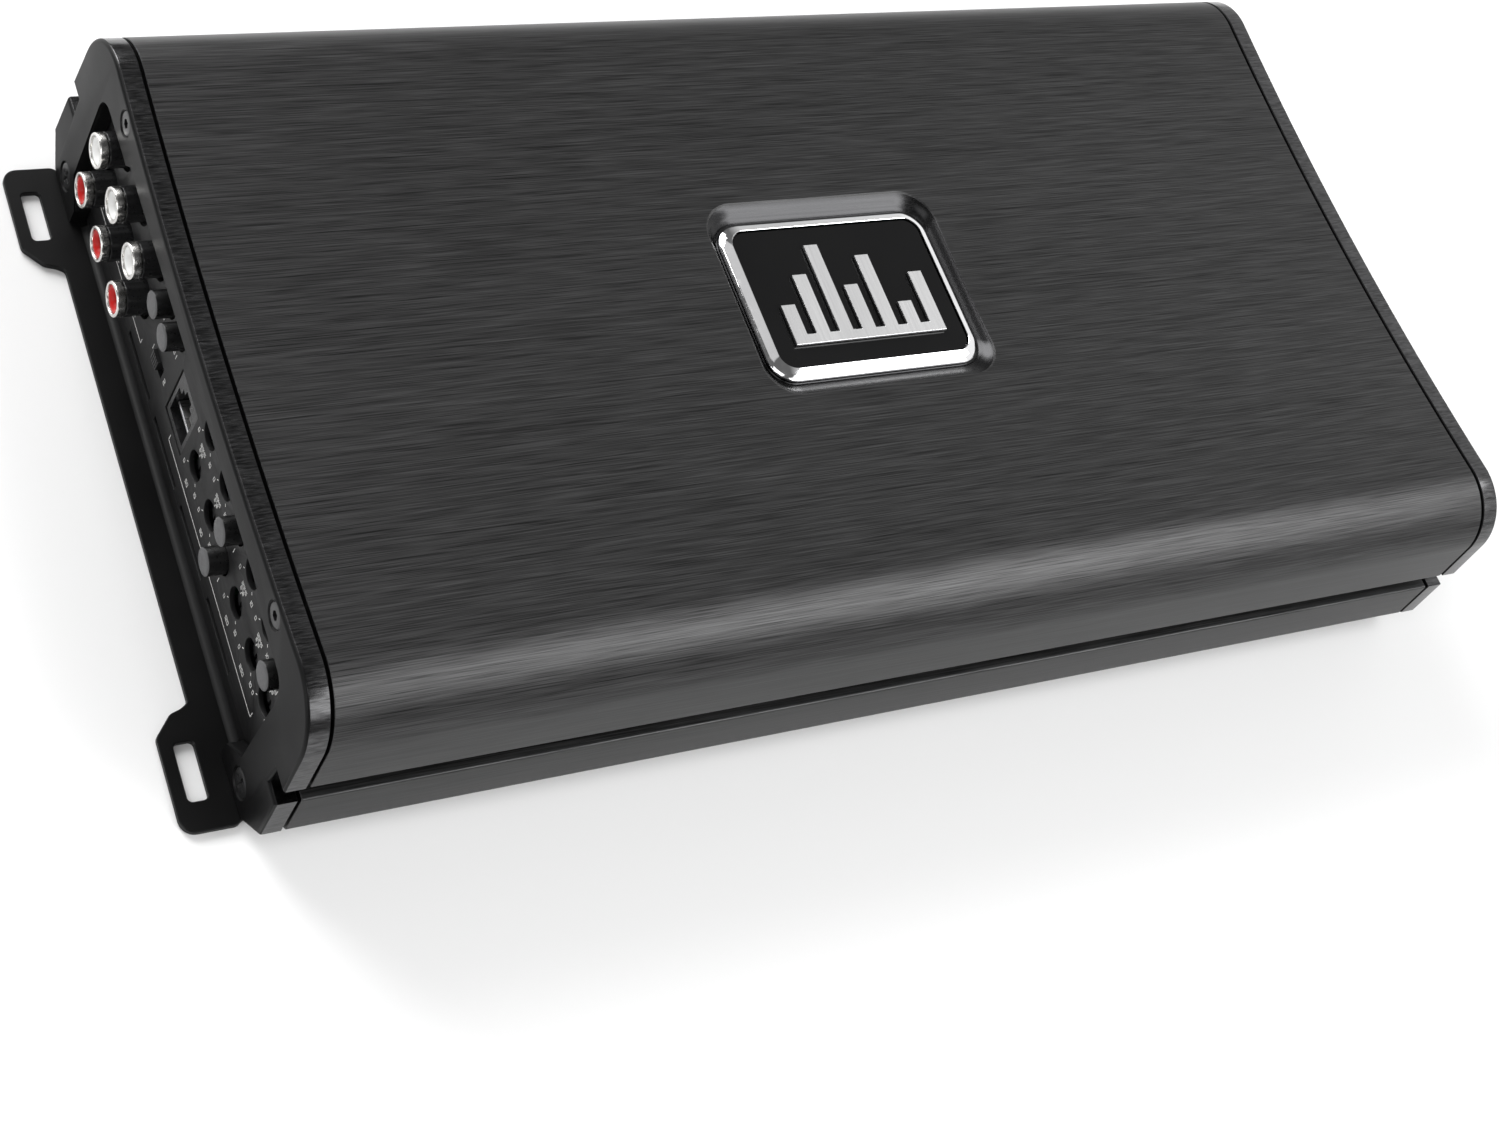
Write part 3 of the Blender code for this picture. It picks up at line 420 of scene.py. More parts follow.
def make_materials():
    along_x = [(60.0, 5000.0, 5000.0), (30.0, 2300.0, 2300.0), (5.0, 50.0, 50.0)]
    across_rim = [(300.0, 2600.0, 2600.0), (120.0, 1100.0, 1100.0), (20.0, 60.0, 60.0)]
    along_y = [(2600.0, 60.0, 2600.0), (900.0, 30.0, 900.0), (60.0, 8.0, 60.0)]
    return {
        "case": brushed_metal("case_brushed", (0.05, 0.05, 0.0505), 0.42, along_x, 0.5, 0.35),
        # The pocket is a darker copy of the case's brushed metal: painted shade in the recess; its smoother,
        # less streaky finish is real.
        "pocket": brushed_metal("pocket_milled_painted_shade", (0.034, 0.034, 0.035), 0.26, along_x, 0.1, 0.05),
        "cap": painted("cap_satin", (0.0035, 0.0035, 0.0037), 0.4, 2200.0, 0.08, 0.1),
        "cap_rim": brushed_metal("cap_rim_brushed", (0.075, 0.075, 0.0765), 0.2, across_rim, 0.45, 0.3),
        "plate": painted("plate_powder_coat", (0.003, 0.003, 0.0031), 0.42, 1400.0, 0.3, 0.16),
        "panel": painted("panel_matt", (0.006, 0.006, 0.0063), 0.45, 1800.0, 0.15, 0.22),
        "marks": painted("marks_white", (0.5, 0.5, 0.49), 0.6, 3000.0, 0.05),
        "chrome": brushed_metal("badge_chrome", (0.88, 0.88, 0.89), 0.08, even_grain(600.0), 0.02, 0.02),
        "gloss": painted("badge_gloss", (0.004, 0.004, 0.0042), 0.1, 500.0, 0.01, 0.12),
        "emblem": brushed_metal("emblem_satin", (0.9, 0.9, 0.905), 0.2, along_y, 0.05, 0.05),
        "nickel": brushed_metal("socket_nickel", (0.66, 0.65, 0.63), 0.24, even_grain(500.0), 0.03, 0.0),
        "white": moulded("core_white", (0.62, 0.62, 0.61), 0.4, bump=0.05, specular=0.3),
        "red": moulded("core_red", (0.36, 0.006, 0.004), 0.4, bump=0.05, specular=0.2),
        "black": moulded("socket_black", (0.008, 0.008, 0.0085), 0.3),
        "button": moulded("button_satin", (0.004, 0.004, 0.0042), 0.3),
        # The button's front face is a lighter grey copy of the button's black: painted light on the lit face.
        "button_face_painted_light": moulded("button_face_painted_light", (0.045, 0.045, 0.047), 0.45),
        "knob": moulded("knob_satin", (0.009, 0.009, 0.0095), 0.4),
        "screw": painted("screw_black_oxide", (0.01, 0.01, 0.0105), 0.32, 900.0, 0.08, 0.4),
        "steel": brushed_metal("plated_steel", (0.62, 0.62, 0.63), 0.3, along_x, 0.1, 0.15),
        "brass": brushed_metal("terminal_brass", (0.72, 0.52, 0.24), 0.3, even_grain(900.0), 0.1, 0.1),
        "gold": brushed_metal("contact_gold", (0.86, 0.62, 0.25), 0.22, even_grain(900.0), 0.05, 0.05),
        "board": moulded("board_green", (0.01, 0.08, 0.03), 0.4, 900.0, 0.1),
        "copper": brushed_metal("winding_copper", (0.6, 0.24, 0.1), 0.35, along_y, 0.3, 0.4),
        "sleeve": moulded("capacitor_sleeve", (0.01, 0.012, 0.035), 0.25),
    }


# ---------------------------------------------------------------- case, caps and base

def make_case(mats):
    """The extrusion, hollow inside, with the badge's pocket milled into its dished top."""
    low, high = box_mm("heatsink_case")
    inner_half = [
        (73.0, CASE_Z), (73.0, 11.8), (81.0, 11.8), (81.0, 38.5), (78.5, 44.0), (72.5, 48.6),
        (66.0, 48.6), (66.0, 46.4), (55.6, 46.4), (55.6, 47.6), (0.0, 47.6),
    ]
    outline = mirrored(outer_half_profile()) + mirrored(inner_half)[::-1]
    outline = soften(outline, 0.5)
    edge = 0.15
    loops = []
    for x, shrink in ((low[0], edge), (low[0] + edge, 0.0), (high[0] - edge, 0.0), (high[0], edge)):
        loops.append([(x, y, z) for y, z in inset(outline, shrink)])
    bm = bmesh.new()
    add_loops(bm, loops)
    case = mesh_piece("case_body", bm, None)
    cut(case, pocket_cutter())
    case.data.materials.append(mats["case"])
    case.data.materials.append(mats["pocket"])
    # The pocket's floor and walls take the darker pocket material, which paints shade into the recess.
    lowest = DISH_Z - POCKET_DEPTH - 1
    for face in case.data.polygons:
        x, y, z = face.center / MM
        inside = abs(x) < POCKET_RIM[0] + 1 and abs(y) < POCKET_RIM[1] + 1
        if inside and lowest < z < dish_z(y) - 0.1 and face.normal.z > 0:
            face.material_index = 1
    finish_piece(case, replaces=("heatsink_case",), smooth_deg=17.0)


def pocket_cutter():
    """The badge's pocket: a flat floor and sloped walls that meet the dished top in a crisp rim."""
    depth = POCKET_DEPTH
    # Each level is (how far up the wall, 0 at the floor and 1 at the rim; depth below the top).
    levels = [(0.0, depth)]
    for i in range(1, 8):
        t = i / 8
        levels.append((t, depth * (1 - t + 0.06 * math.sin(2 * math.pi * t))))
    levels.append((1.0, -0.01))
    loops = []
    for t, below in levels:
        half_x, half_y, radius = (low + (high - low) * t for low, high in zip(POCKET_FLOOR, POCKET_RIM))
        ring = rounded_rect(half_x, half_y, radius, 14)
        floor_z = DISH_Z - depth
        loops.append([(x, y, max(floor_z, dish_z(y) - below) if t else floor_z) for x, y in ring])
    last = loops[-1]
    loops.append([(x, y, SHOULDER_Z + 5) for x, y, _ in last])
    bm = bmesh.new()
    add_loops(bm, loops)
    return bm


def window_half(margin):
    """The +Y half of the end caps' window, made wider all round by margin."""
    corner = (WINDOW_Y + margin - WINDOW_R, WINDOW_BOSS_Z + margin - WINDOW_R)
    return [
        (WINDOW_FOOT_Y + margin, CASE_Z), (WINDOW_FOOT_Y + margin, WINDOW_CHAMFER_LOW_Z),
        (WINDOW_Y + margin, WINDOW_CHAMFER_HIGH_Z), *arc(corner, WINDOW_R, 0, 90, 12),
        (WINDOW_BOSS_Y + margin, WINDOW_BOSS_Z + margin),
        (WINDOW_BOSS_Y - 2.0, WINDOW_Z + margin), (0.0, WINDOW_Z + margin),
    ]


def make_cap(name, node, side, end, mats):
    """End cap: a rounded outer edge, a window, a rebate for the panel and countersunk screw holes."""
    low, high = box_mm(node)
    face, back = (low[0], high[0]) if side < 0 else (high[0], low[0])
    outer = mirrored(outer_half_profile())
    outline = outer + mirrored(window_half(0.0))[::-1]
    loops = []
    for i in range(CAP_STEPS + 1):
        turn = math.pi / 2 * i / CAP_STEPS
        depth, shrink = CAP_EDGE * (1 - math.cos(turn)), CAP_EDGE * (1 - math.sin(turn))
        window = inset(outline, min(shrink, WINDOW_EDGE))[len(outer):]
        loops.append((face - side * depth, inset(outline, shrink)[:len(outer)] + window))
    loops += [(back + side * 0.2, outline), (back, inset(outline, 0.2))]
    bm = bmesh.new()
    add_loops(bm, [[(x, y, z) for y, z in ring] for x, ring in loops])
    cap = mesh_piece(name, bm, None)

    panel_low, panel_high = box_mm(end + "_panel")
    rebate_x = (panel_low[0] if side < 0 else panel_high[0]) + side * PANEL_GAP
    rebate = mirrored(window_half(PANEL_MARGIN + PANEL_GAP))
    rebate[0], rebate[-1] = (rebate[0][0], CASE_Z - 2), (rebate[-1][0], CASE_Z - 2)
    cutters = bmesh.new()
    add_prism(cutters, rebate, rebate_x, back - side * 2)
    for place in ("top_left", "top_right", "low_left", "low_right"):
        screw = f"{end}_screw_{place}"
        screw_low, screw_high = box_mm(screw)
        radius = (screw_high[1] - screw_low[1]) / 2 + 0.2
        profile = [
            (face + side, radius + 0.25), (face, radius + 0.25), (face - side * 0.25, radius),
            (face - side * 2.2, radius * 0.55), (back - side, radius * 0.55),
        ]
        add_turned(cutters, profile, middle_yz(screw))
    cut(cap, cutters)
    cap.data.materials.append(mats["cap"])
    cap.data.materials.append(mats["cap_rim"])
    for face in cap.data.polygons:
        x, y, z = face.center / MM
        outward = abs(y) > WINDOW_Y + 1 or z > WINDOW_Z + 1
        if outward and abs(face.normal.x) < 0.3:
            face.material_index = 1
    finish_piece(cap, replaces=(node,), smooth_deg=35.0)


def make_screw(node, side, mats):
    """Countersunk cap screw: a hexagon socket in the upper ones, a cross in the lower ones."""
    low, high = box_mm(node)
    center = middle_yz(node)
    head = (high[1] - low[1]) / 2
    face = low[0] if side < 0 else high[0]
    shank = head / HEAD_TO_SHANK
    profile = [
        (face, head - 0.45), (face - side * 0.06, head - 0.15), (face - side * 0.2, head),
        (face - side * 0.35, head), (face - side * 1.9, shank), (face - side * 8, shank),
    ]
    bm = bmesh.new()
    add_turned(bm, profile, center)
    screw = mesh_piece(node + "_fine", bm, None)
    cutter = bmesh.new()
    reach = face + side
    bottom = face - side * DRIVE_DEPTH
    if "top" in node:
        add_prism(cutter, circle(center, HEX_R, 6), bottom, reach)
    else:
        arm, half = CROSS_ARM, CROSS_HALF_W
        cross = [
            (arm, -half), (arm, half), (half, half), (half, arm), (-half, arm), (-half, half),
            (-arm, half), (-arm, -half), (-half, -half), (-half, -arm), (half, -arm), (half, -half),
        ]
        wide = [(center[0] + y, center[1] + z) for y, z in cross]
        tight = [(center[0] + y * CROSS_TAPER, center[1] + z * CROSS_TAPER) for y, z in cross]
        stack = ((bottom, tight), (face, wide), (reach, wide))
        add_loops(cutter, [[(x, y, z) for y, z in ring] for x, ring in stack])
    cut(screw, cutter)
    screw.data.materials.append(mats["screw"])
    finish_piece(screw, replaces=(node,))


def make_plate(mats):
    """Base plate with soft edges, on the CAD plate's own outline."""
    foot_x, foot_y, top = box_mm("base_plate")[1]
    thick, edge = PLATE_T, PLATE_EDGE
    chamfer = [(STRIP_X, FOOT_START_Y), *FOOT_CHAMFER, (foot_x, FOOT_SIDE_Y)]
    corner = arc((foot_x - FOOT_R, foot_y - FOOT_R), FOOT_R, 0, 90, 10)
    step_out_x, step_in_x = FOOT_STEP_XS
    quarter = [(STRIP_X, 0.0), *chamfer, *corner]
    quarter += [(step_out_x, foot_y), (step_in_x, PLATE_SIDE_Y), (0.0, PLATE_SIDE_Y)]
    upper = quarter + [(-x, y) for x, y in reversed(quarter) if x > 0]
    outline = upper + [(x, -y) for x, y in reversed(upper) if y > 0]
    outline = [p for i, p in enumerate(outline) if math.dist(p, outline[i - 1]) > 0.01]
    outline = soften(outline, 0.8, 12.0)
    bm = bmesh.new()
    add_loops(bm, [
        [(x, y, z) for x, y in inset(outline, shrink)]
        for z, shrink in ((0.0, edge), (edge, 0.0), (thick - edge, 0.0), (thick, edge))
    ])
    plate = mesh_piece("plate_body", bm, None)
    cutters = bmesh.new()
    ring = rounded_rect(SLOT_W / 2, SLOT_L / 2, SLOT_R, 8)
    wide = rounded_rect(SLOT_W / 2 + edge, SLOT_L / 2 + edge, SLOT_R + edge, 8)
    stack = (
        (-1.0, wide), (0.0, wide), (edge, ring), (thick - edge, ring), (thick, wide), (thick + 1, wide),
    )
    for slot_x in (-SLOT_X, SLOT_X):
        for slot_y in (-SLOT_Y, SLOT_Y):
            loops = [[(slot_x + x, slot_y + y, z) for x, y in loop] for z, loop in stack]
            add_loops(cutters, loops)
    cut(plate, cutters)
    plate.data.materials.append(mats["plate"])
    finish_piece(plate, replaces=("base_plate",))
    bm = bmesh.new()
    for x in STANDOFF_XS:
        for y in STANDOFF_YS:
            add_slab(bm, circle((x, y), STANDOFF_R, 24), thick, top)
    mesh_piece("plate_standoffs", bm, mats["steel"])


# ---------------------------------------------------------------- badge

def make_badge(mats):
    """Chrome bezel, gloss plate and a raised emblem like a level meter."""
    low, high = box_mm("badge_bezel")
    outer = (high[0], high[1], BEZEL_OUTER_R)
    base, top = low[2], high[2]
    # (how far from the outer edge to the inner edge; height)
    section = [
        (0.0, base), (0.0, top - 1.3), (0.03, top - 1.18), (0.2, top - 0.85), (0.38, top - 0.55),
        (0.42, top - 0.5), (0.7, top - 0.24), (0.94, top - 0.02), (0.97, top), (1.0, top - 0.06),
        (1.0, base),
    ]
    loops = []
    for t, z in section:
        half_x, half_y, radius = (a + (b - a) * t for a, b in zip(outer, BEZEL_INNER))
        loops.append([(x, y, z) for x, y in rounded_rect(half_x, half_y, radius, 16)])
    bm = bmesh.new()
    add_loops(bm, loops, closed=True)
    replaced = ("badge_bezel",)
    mesh_piece("bezel_ring", bm, mats["chrome"], replaces=replaced, smooth_deg=24.0)

    low, high = box_mm("badge_plate")
    loops = []
    for shrink, z in ((0.0, low[2]), (0.0, high[2] - 0.12), (0.12, high[2])):
        ring = rounded_rect(high[0] - shrink, high[1] - shrink, BADGE_PLATE_R - shrink, 16)
        loops.append([(x, y, z) for x, y in ring])
    bm = bmesh.new()
    add_loops(bm, loops)
    mesh_piece("badge_disc", bm, mats["gloss"], replaces=("badge_plate",))

    low, high = box_mm("badge_emblem")
    left, low_y = low[0], low[1]
    foot_y = low_y + EMBLEM_FOOT
    outline = [(left, low_y), (high[0], low_y)]
    for i, height in reversed(list(enumerate(EMBLEM_BARS))):
        bar_left = left + i * EMBLEM_PITCH
        outline += [(bar_left + EMBLEM_BAR_W, low_y + height), (bar_left, low_y + height)]
        if i:
            outline += [(bar_left, foot_y), (bar_left - EMBLEM_PITCH + EMBLEM_BAR_W, foot_y)]
    bm = bmesh.new()
    base, top, edge = low[2], high[2], 0.1
    stack = ((base, 0.0), (top - edge, 0.0), (top, edge))
    add_loops(bm, [[(x, y, z) for x, y in inset(outline, shrink)] for z, shrink in stack])
    mesh_piece("emblem_bars", bm, mats["emblem"], replaces=("badge_emblem",))


# ---------------------------------------------------------------- control panel

def knob_nodes():
    return sorted(n for n in NODES if n.startswith("knob_") and "housing" not in n)


def button_nodes():
    return sorted(n for n in NODES if n.startswith("button_"))


def make_panel_sheet(name, node, cutters, mats):
    """Flat sheet behind a cap's window, with the holes in cutters."""
    low, high = box_mm(node)
    outline = soften(mirrored(window_half(PANEL_MARGIN)), 0.3)
    bm = bmesh.new()
    add_prism(bm, outline, low[0], high[0])
    sheet = mesh_piece(name, bm, None)
    cut(sheet, cutters)
    sheet.data.materials.append(mats["panel"])
    finish_piece(sheet, replaces=(node,), bevel=0.12)


def control_cutters():
    """Every hole in the control panel's sheet."""
    low, high = box_mm("control_panel")
    back, front = high[0] + 1, low[0] - 1
    bm = bmesh.new()
    sockets = [node for node in NODES if node.startswith("socket_barrel")]
    holes_r = ((sockets, SOCKET_HOLE_R), (knob_nodes(), KNOB_HOLE_R), (button_nodes(), BUTTON_HOLE_R))
    for nodes, radius in holes_r:
        for node in nodes:
            add_prism(bm, circle(middle_yz(node), radius), back, front)
    gap = PANEL_GAP
    r_low, r_high = box_mm("remote_socket")
    holes = [(r_low[1] - gap, r_high[2] - REMOTE_H - gap, r_high[1] + gap, r_high[2] + gap)]
    slide_y, slide_z = middle_yz("slide_frame")[0], box_mm("slide_frame")[1][2] - SLIDE_ABOVE
    holes.append((
        slide_y - SLIDE_HALF_W, slide_z - SLIDE_HALF_H, slide_y + SLIDE_HALF_W, slide_z + SLIDE_HALF_H,
    ))
    slot_low_z, slot_high_z = PANEL_SLOT_ZS
    holes += [(y - PANEL_SLOT_HALF_L, slot_low_z, y + PANEL_SLOT_HALF_L, slot_high_z) for y in PANEL_SLOT_YS]
    for y0, z0, y1, z1 in holes:
        add_box(bm, (front, y0, z0), (back, y1, z1))
    return bm


def make_control_panel(mats):
    make_panel_sheet("control_sheet", "control_panel", control_cutters(), mats)
    face = box_mm("control_panel")[0][0]
    # The sheet's bent foot shows as a small quarter-round along the base plate.
    radius = SHEET_FOOT_R
    foot = [(face + 0.2, CASE_Z), *arc((face - radius, CASE_Z + radius), radius, -90, 0, 6)]
    foot.append((face + 0.2, CASE_Z + radius))
    bm = bmesh.new()
    add_loops(bm, [[(x, y, z) for x, z in foot] for y in (-SHEET_FOOT_Y, SHEET_FOOT_Y)])
    mesh_piece("control_sheet_foot", bm, mats["panel"])
    make_marks(face, mats)


SEGMENTS = {
    "0": "abcdef", "1": "bc", "2": "abged", "3": "abgcd", "4": "fgbc", "5": "afgcd",
    "6": "afgedc", "7": "abc", "8": "abcdefg", "9": "abcdfg",
}


def add_line(bm, start, end, width, face):
    """A printed line along Y or Z on the panel."""
    (y0, z0), (y1, z1) = start, end
    half = width / 2
    add_box(
        bm, (face - PRINT_OUT, min(y0, y1) - half, min(z0, z1) - half),
        (face + PRINT_IN, max(y0, y1) + half, max(z0, z1) + half),
    )


def add_digits(bm, text, center, height, face):
    """Plain seven-stroke numerals on the panel, read from outside; +Y is the reader's left."""
    width, stroke = height * 0.52, height * 0.15
    advance = width + stroke * 1.9
    start = center[0] + advance * (len(text) - 1) / 2
    for i, digit in enumerate(text):
        cy, cz = start - i * advance, center[1]
        for key in SEGMENTS[digit]:
            half_w, half_h = width / 2, height / 2
            bars = {
                "a": (cy + half_w, cz + half_h, cy - half_w, cz + half_h),
                "g": (cy + half_w, cz, cy - half_w, cz),
                "d": (cy + half_w, cz - half_h, cy - half_w, cz - half_h),
                "f": (cy + half_w, cz, cy + half_w, cz + half_h),
                "b": (cy - half_w, cz, cy - half_w, cz + half_h),
                "e": (cy + half_w, cz - half_h, cy + half_w, cz),
                "c": (cy - half_w, cz - half_h, cy - half_w, cz),
            }
            y0, z0, y1, z1 = bars[key]
            add_line(bm, (y0, z0), (y1, z1), stroke, face)


def add_tick(bm, center, angle_deg, start, end, width, face):
    """A printed stroke that points away from center."""
    a = math.radians(angle_deg)
    along = Vector((math.cos(a), math.sin(a)))
    across = Vector((-math.sin(a), math.cos(a))) * width / 2
    middle = Vector(center)
    ring = [
        middle + along * start + across, middle + along * end + across,
        middle + along * end - across, middle + along * start - across,
    ]
    add_prism(bm, [tuple(p) for p in ring], face - PRINT_OUT, face + PRINT_IN)


def make_marks(face, mats):
    """White printed scales, numerals and guide lines."""
    bm = bmesh.new()
    for node in knob_nodes():
        _, y, z = middle_mm(node)
        for angle in (225, 90, -45):
            add_tick(bm, (y, z), angle, 4.0, 4.7, 0.2, face)
        add_digits(bm, "0", (y + 4.3, z - 4.9), 1.15, face)
        add_digits(bm, "10", (y - 4.3, z - 4.9), 1.15, face)
        add_digits(bm, "12345", (y, z + 6.9), 0.95, face)
        add_digits(bm, "678", (y, z + 5.4), 0.95, face)
    for number, node in enumerate(button_nodes(), start=1):
        _, y, z = middle_mm(node)
        add_digits(bm, str(number * 2), (y, z - 5.6), 1.3, face)
        for dy in (1.9, -1.9):
            add_tick(bm, (y + dy, z - 5.6), 90, -0.8, 0.8, 0.18, face)
    for y, text in ((22.4, "1"), (12.6, "2")):
        add_digits(bm, text, (y, 19.6), 1.5, face)
    line_z = 12.8
    for y0, y1, tab_z in ((2.0, -65.6, 14.6), (27.2, 70.0, 14.2)):
        add_line(bm, (y0, line_z), (y1, line_z), 0.18, face)
        for y in (y0, y1):
            add_line(bm, (y, line_z), (y, tab_z), 0.18, face)
    scales = {"knob_1_low": "50", "knob_2_low": "80", "knob_4_low": "120", "knob_5_low": "250"}
    for node, text in scales.items():
        _, y, z = middle_mm(node)
        add_digits(bm, text, (y, z - 7.4), 1.15, face)
    for y, text in ((63.4, "1"), (48.6, "2"), (33.8, "3")):
        add_digits(bm, text, (y, 14.6), 1.3, face)
    mesh_piece("panel_marks", bm, mats["marks"])


def make_sockets(mats):
    """Six phono sockets in two rows: white cores above, red cores below."""
    for row, core in (("upper", "white"), ("lower", "red")):
        for column in (1, 2, 3):
            place = f"{row}_{column}"
            center = middle_yz("socket_barrel_" + place)
            tip = box_mm("socket_barrel_" + place)[0][0]
            make_barrel(place, center, mats)
            make_core(place, center, tip, core, mats)
            make_collar("collar_" + place, center, tip, mats)


def make_barrel(place, center, mats):
    """Plated barrel: a rounded ring at the tip, with a thinner neck behind it."""
    node = "socket_barrel_" + place
    low, high = box_mm(node)
    tip, back, outer = low[0], high[0], BARREL_R
    mouth, ring_x, floor_x, edge = BARREL_MOUTH_R, low[0] + BARREL_RING_L, low[0] + 1.4, 0.35
    section = [(back, BARREL_NECK_R), (ring_x, BARREL_NECK_R), (ring_x, outer - 0.15), (ring_x - 0.15, outer)]
    section += arc((tip + edge, outer - edge), edge, 90, 180, 5)
    section += [
        (tip, mouth + 0.2), (tip + 0.06, mouth + 0.06), (tip + 0.2, mouth), (floor_x, mouth),
        (floor_x, BARREL_BORE_R), (back, BARREL_BORE_R),
    ]
    bm = bmesh.new()
    add_turned(bm, section, center, closed=True)
    mesh_piece("barrel_" + place, bm, mats["nickel"], replaces=(node,))


def make_core(place, center, tip, color, mats):
    """Coloured core with a dished face, and the four contact fingers deep in its hole."""
    node = "socket_core_" + place
    low, high = box_mm(node)
    front, shoulder_x = low[0], tip + 1.3
    section = [
        (high[0], CORE_STEM_R), (shoulder_x, CORE_STEM_R), (shoulder_x, CORE_R), (front + 0.12, CORE_R),
        (front, CORE_R - 0.12), (front, 2.8), (front + 0.12, 2.6), (front + 0.5, 2.1),
        (front + 1.3, CORE_HOLE_R + 0.03), (front + 4.1, CORE_HOLE_R),
    ]
    bm = bmesh.new()
    add_turned(bm, section, center)
    mesh_piece("core_" + place, bm, mats[color], replaces=(node,))
    bm = bmesh.new()
    for sy, sz in ((1, 0), (-1, 0), (0, 1), (0, -1)):
        ring = circle((center[0] + sy * 0.85, center[1] + sz * 0.85), 0.35, 12)
        add_prism(bm, ring, front + 3.2, front + 4.2)
    mesh_piece("contact_" + place, bm, mats["gold"])


def make_collar(name, center, tip, mats):
    """Ribbed sleeve between the barrel's ring and the panel."""
    ribs, inner, groove, crest = 12, 3.97, 4.02, 4.16
    per_rib = 6
    hole, low_ring, high_ring = (circle(center, r, ribs * per_rib) for r in (inner, groove, crest))
    pairs = enumerate(zip(low_ring, high_ring))
    outline = [high if i % per_rib < per_rib / 2 else low for i, (low, high) in pairs]
    front, back = tip + 2.35, box_mm("control_panel")[0][0] + 1.2
    rings = [
        (front + 0.1, hole), (front, inset(hole, -0.03)), (front, inset(outline, 0.05)),
        (front + 0.08, outline), (back, outline), (back, hole),
    ]
    bm = bmesh.new()
    add_loops(bm, [[(x, y, z) for y, z in ring] for x, ring in rings], closed=True)
    mesh_piece(name, bm, mats["black"])


def make_knobs(mats):
    """Round slotted knobs on thin shafts."""
    for node in knob_nodes():
        low, high = box_mm(node)
        y, z = center = middle_yz(node)
        front, back, radius = low[0], high[0], KNOB_R
        head_back = front + KNOB_HEAD_L
        profile = [
            (front, radius - 0.45), (front + 0.1, radius - 0.15), (front + 0.3, radius),
            (head_back, radius), (head_back, KNOB_SHAFT_R), (back, KNOB_SHAFT_R),
        ]
        bm = bmesh.new()
        add_turned(bm, profile, center)
        knob = mesh_piece(node + "_fine", bm, None)
        cutter = bmesh.new()
        slot_low = (front - 1, y - KNOB_SLOT_HALF_W, z - radius - 1)
        add_box(cutter, slot_low, (front + 0.8, y + KNOB_SLOT_HALF_W, z + radius + 1))
        cut(knob, cutter)
        knob.data.materials.append(mats["knob"])
        finish_piece(knob, node, (node,))


def make_buttons(mats):
    """Push buttons with a slightly domed face and a square stem."""
    for node in button_nodes():
        low, high = box_mm(node)
        y, z = center = middle_yz(node)
        front, radius, skirt = low[0], BUTTON_R, low[0] + BUTTON_L
        crown = [(front + 0.12 * (r / radius) ** 2, r) for r in (0.4, 1.0, 1.6, 2.2, 2.7)]
        profile = [
            *crown, (front + 0.2, radius - 0.2), (front + 0.32, radius - 0.05), (front + 0.5, radius),
            (skirt, radius),
        ]
        bm = bmesh.new()
        add_turned(bm, profile, center)
        button = mesh_piece(node + "_fine", bm, None)
        stem = bmesh.new()
        stem_low = (skirt - 0.5, y - STEM_HALF, z - STEM_HALF)
        add_box(stem, stem_low, (high[0], y + STEM_HALF, z + STEM_HALF))
        button.data.materials.append(mats["button"])
        button.data.materials.append(mats["button_face_painted_light"])
        # Front faces get the lighter copy of the black, as painted light; the sides keep the black.
        for face in button.data.polygons:
            if face.normal.x < -0.7 and face.center.x < (front + 0.3) * MM:
                face.material_index = 1
        finish_piece(button, node, (node,))
        mesh_piece(node + "_stem", stem, mats["button"], node)


def make_remote_socket(mats):
    """Dark modular socket with a plated tongue and a row of contact wires."""
    low, high = box_mm("remote_socket")
    middle_y, middle_z = (low[1] + high[1]) / 2, high[2] - REMOTE_H / 2
    front = low[0]
    bm = bmesh.new()
    tongue_low = (front + 1.2, middle_y - TONGUE_HALF_W, middle_z - 3.9)
    add_box(bm, tongue_low, (front + 11.5, middle_y + TONGUE_HALF_W, middle_z - 2.9))
    mesh_piece("remote_tongue", bm, mats["steel"], bevel=0.15)
    bm = bmesh.new()
    half = CONTACT_W / 2
    for i in range(CONTACTS):
        y = middle_y + (i - (CONTACTS - 1) / 2) * CONTACT_PITCH
        add_box(bm, (front + 3.0, y - half, middle_z + 1.2), (front + 11.0, y + half, middle_z + 1.6))
        add_box(bm, (front + 2.4, y - half, middle_z + 1.2), (front + 3.0, y + half, middle_z + 2.4))
    mesh_piece("remote_contacts", bm, mats["gold"])


def make_slide_details(mats):
    """Four grip ribs on the slide switch's lever."""
    front = box_mm("slide_lever")[0][0]
    middle_y, z = middle_yz("slide_lever")
    bm = bmesh.new()
    for i in range(GRIP_RIBS):
        y = middle_y + (i - (GRIP_RIBS - 1) / 2) * GRIP_PITCH
        add_box(bm, (front - 0.18, y - 0.18, z - 1.35), (front + 0.1, y + 0.18, z + 1.35))
    mesh_piece("slide_lever_ribs", bm, mats["knob"], "slide_lever", bevel=0.05)


# ---------------------------------------------------------------- power end

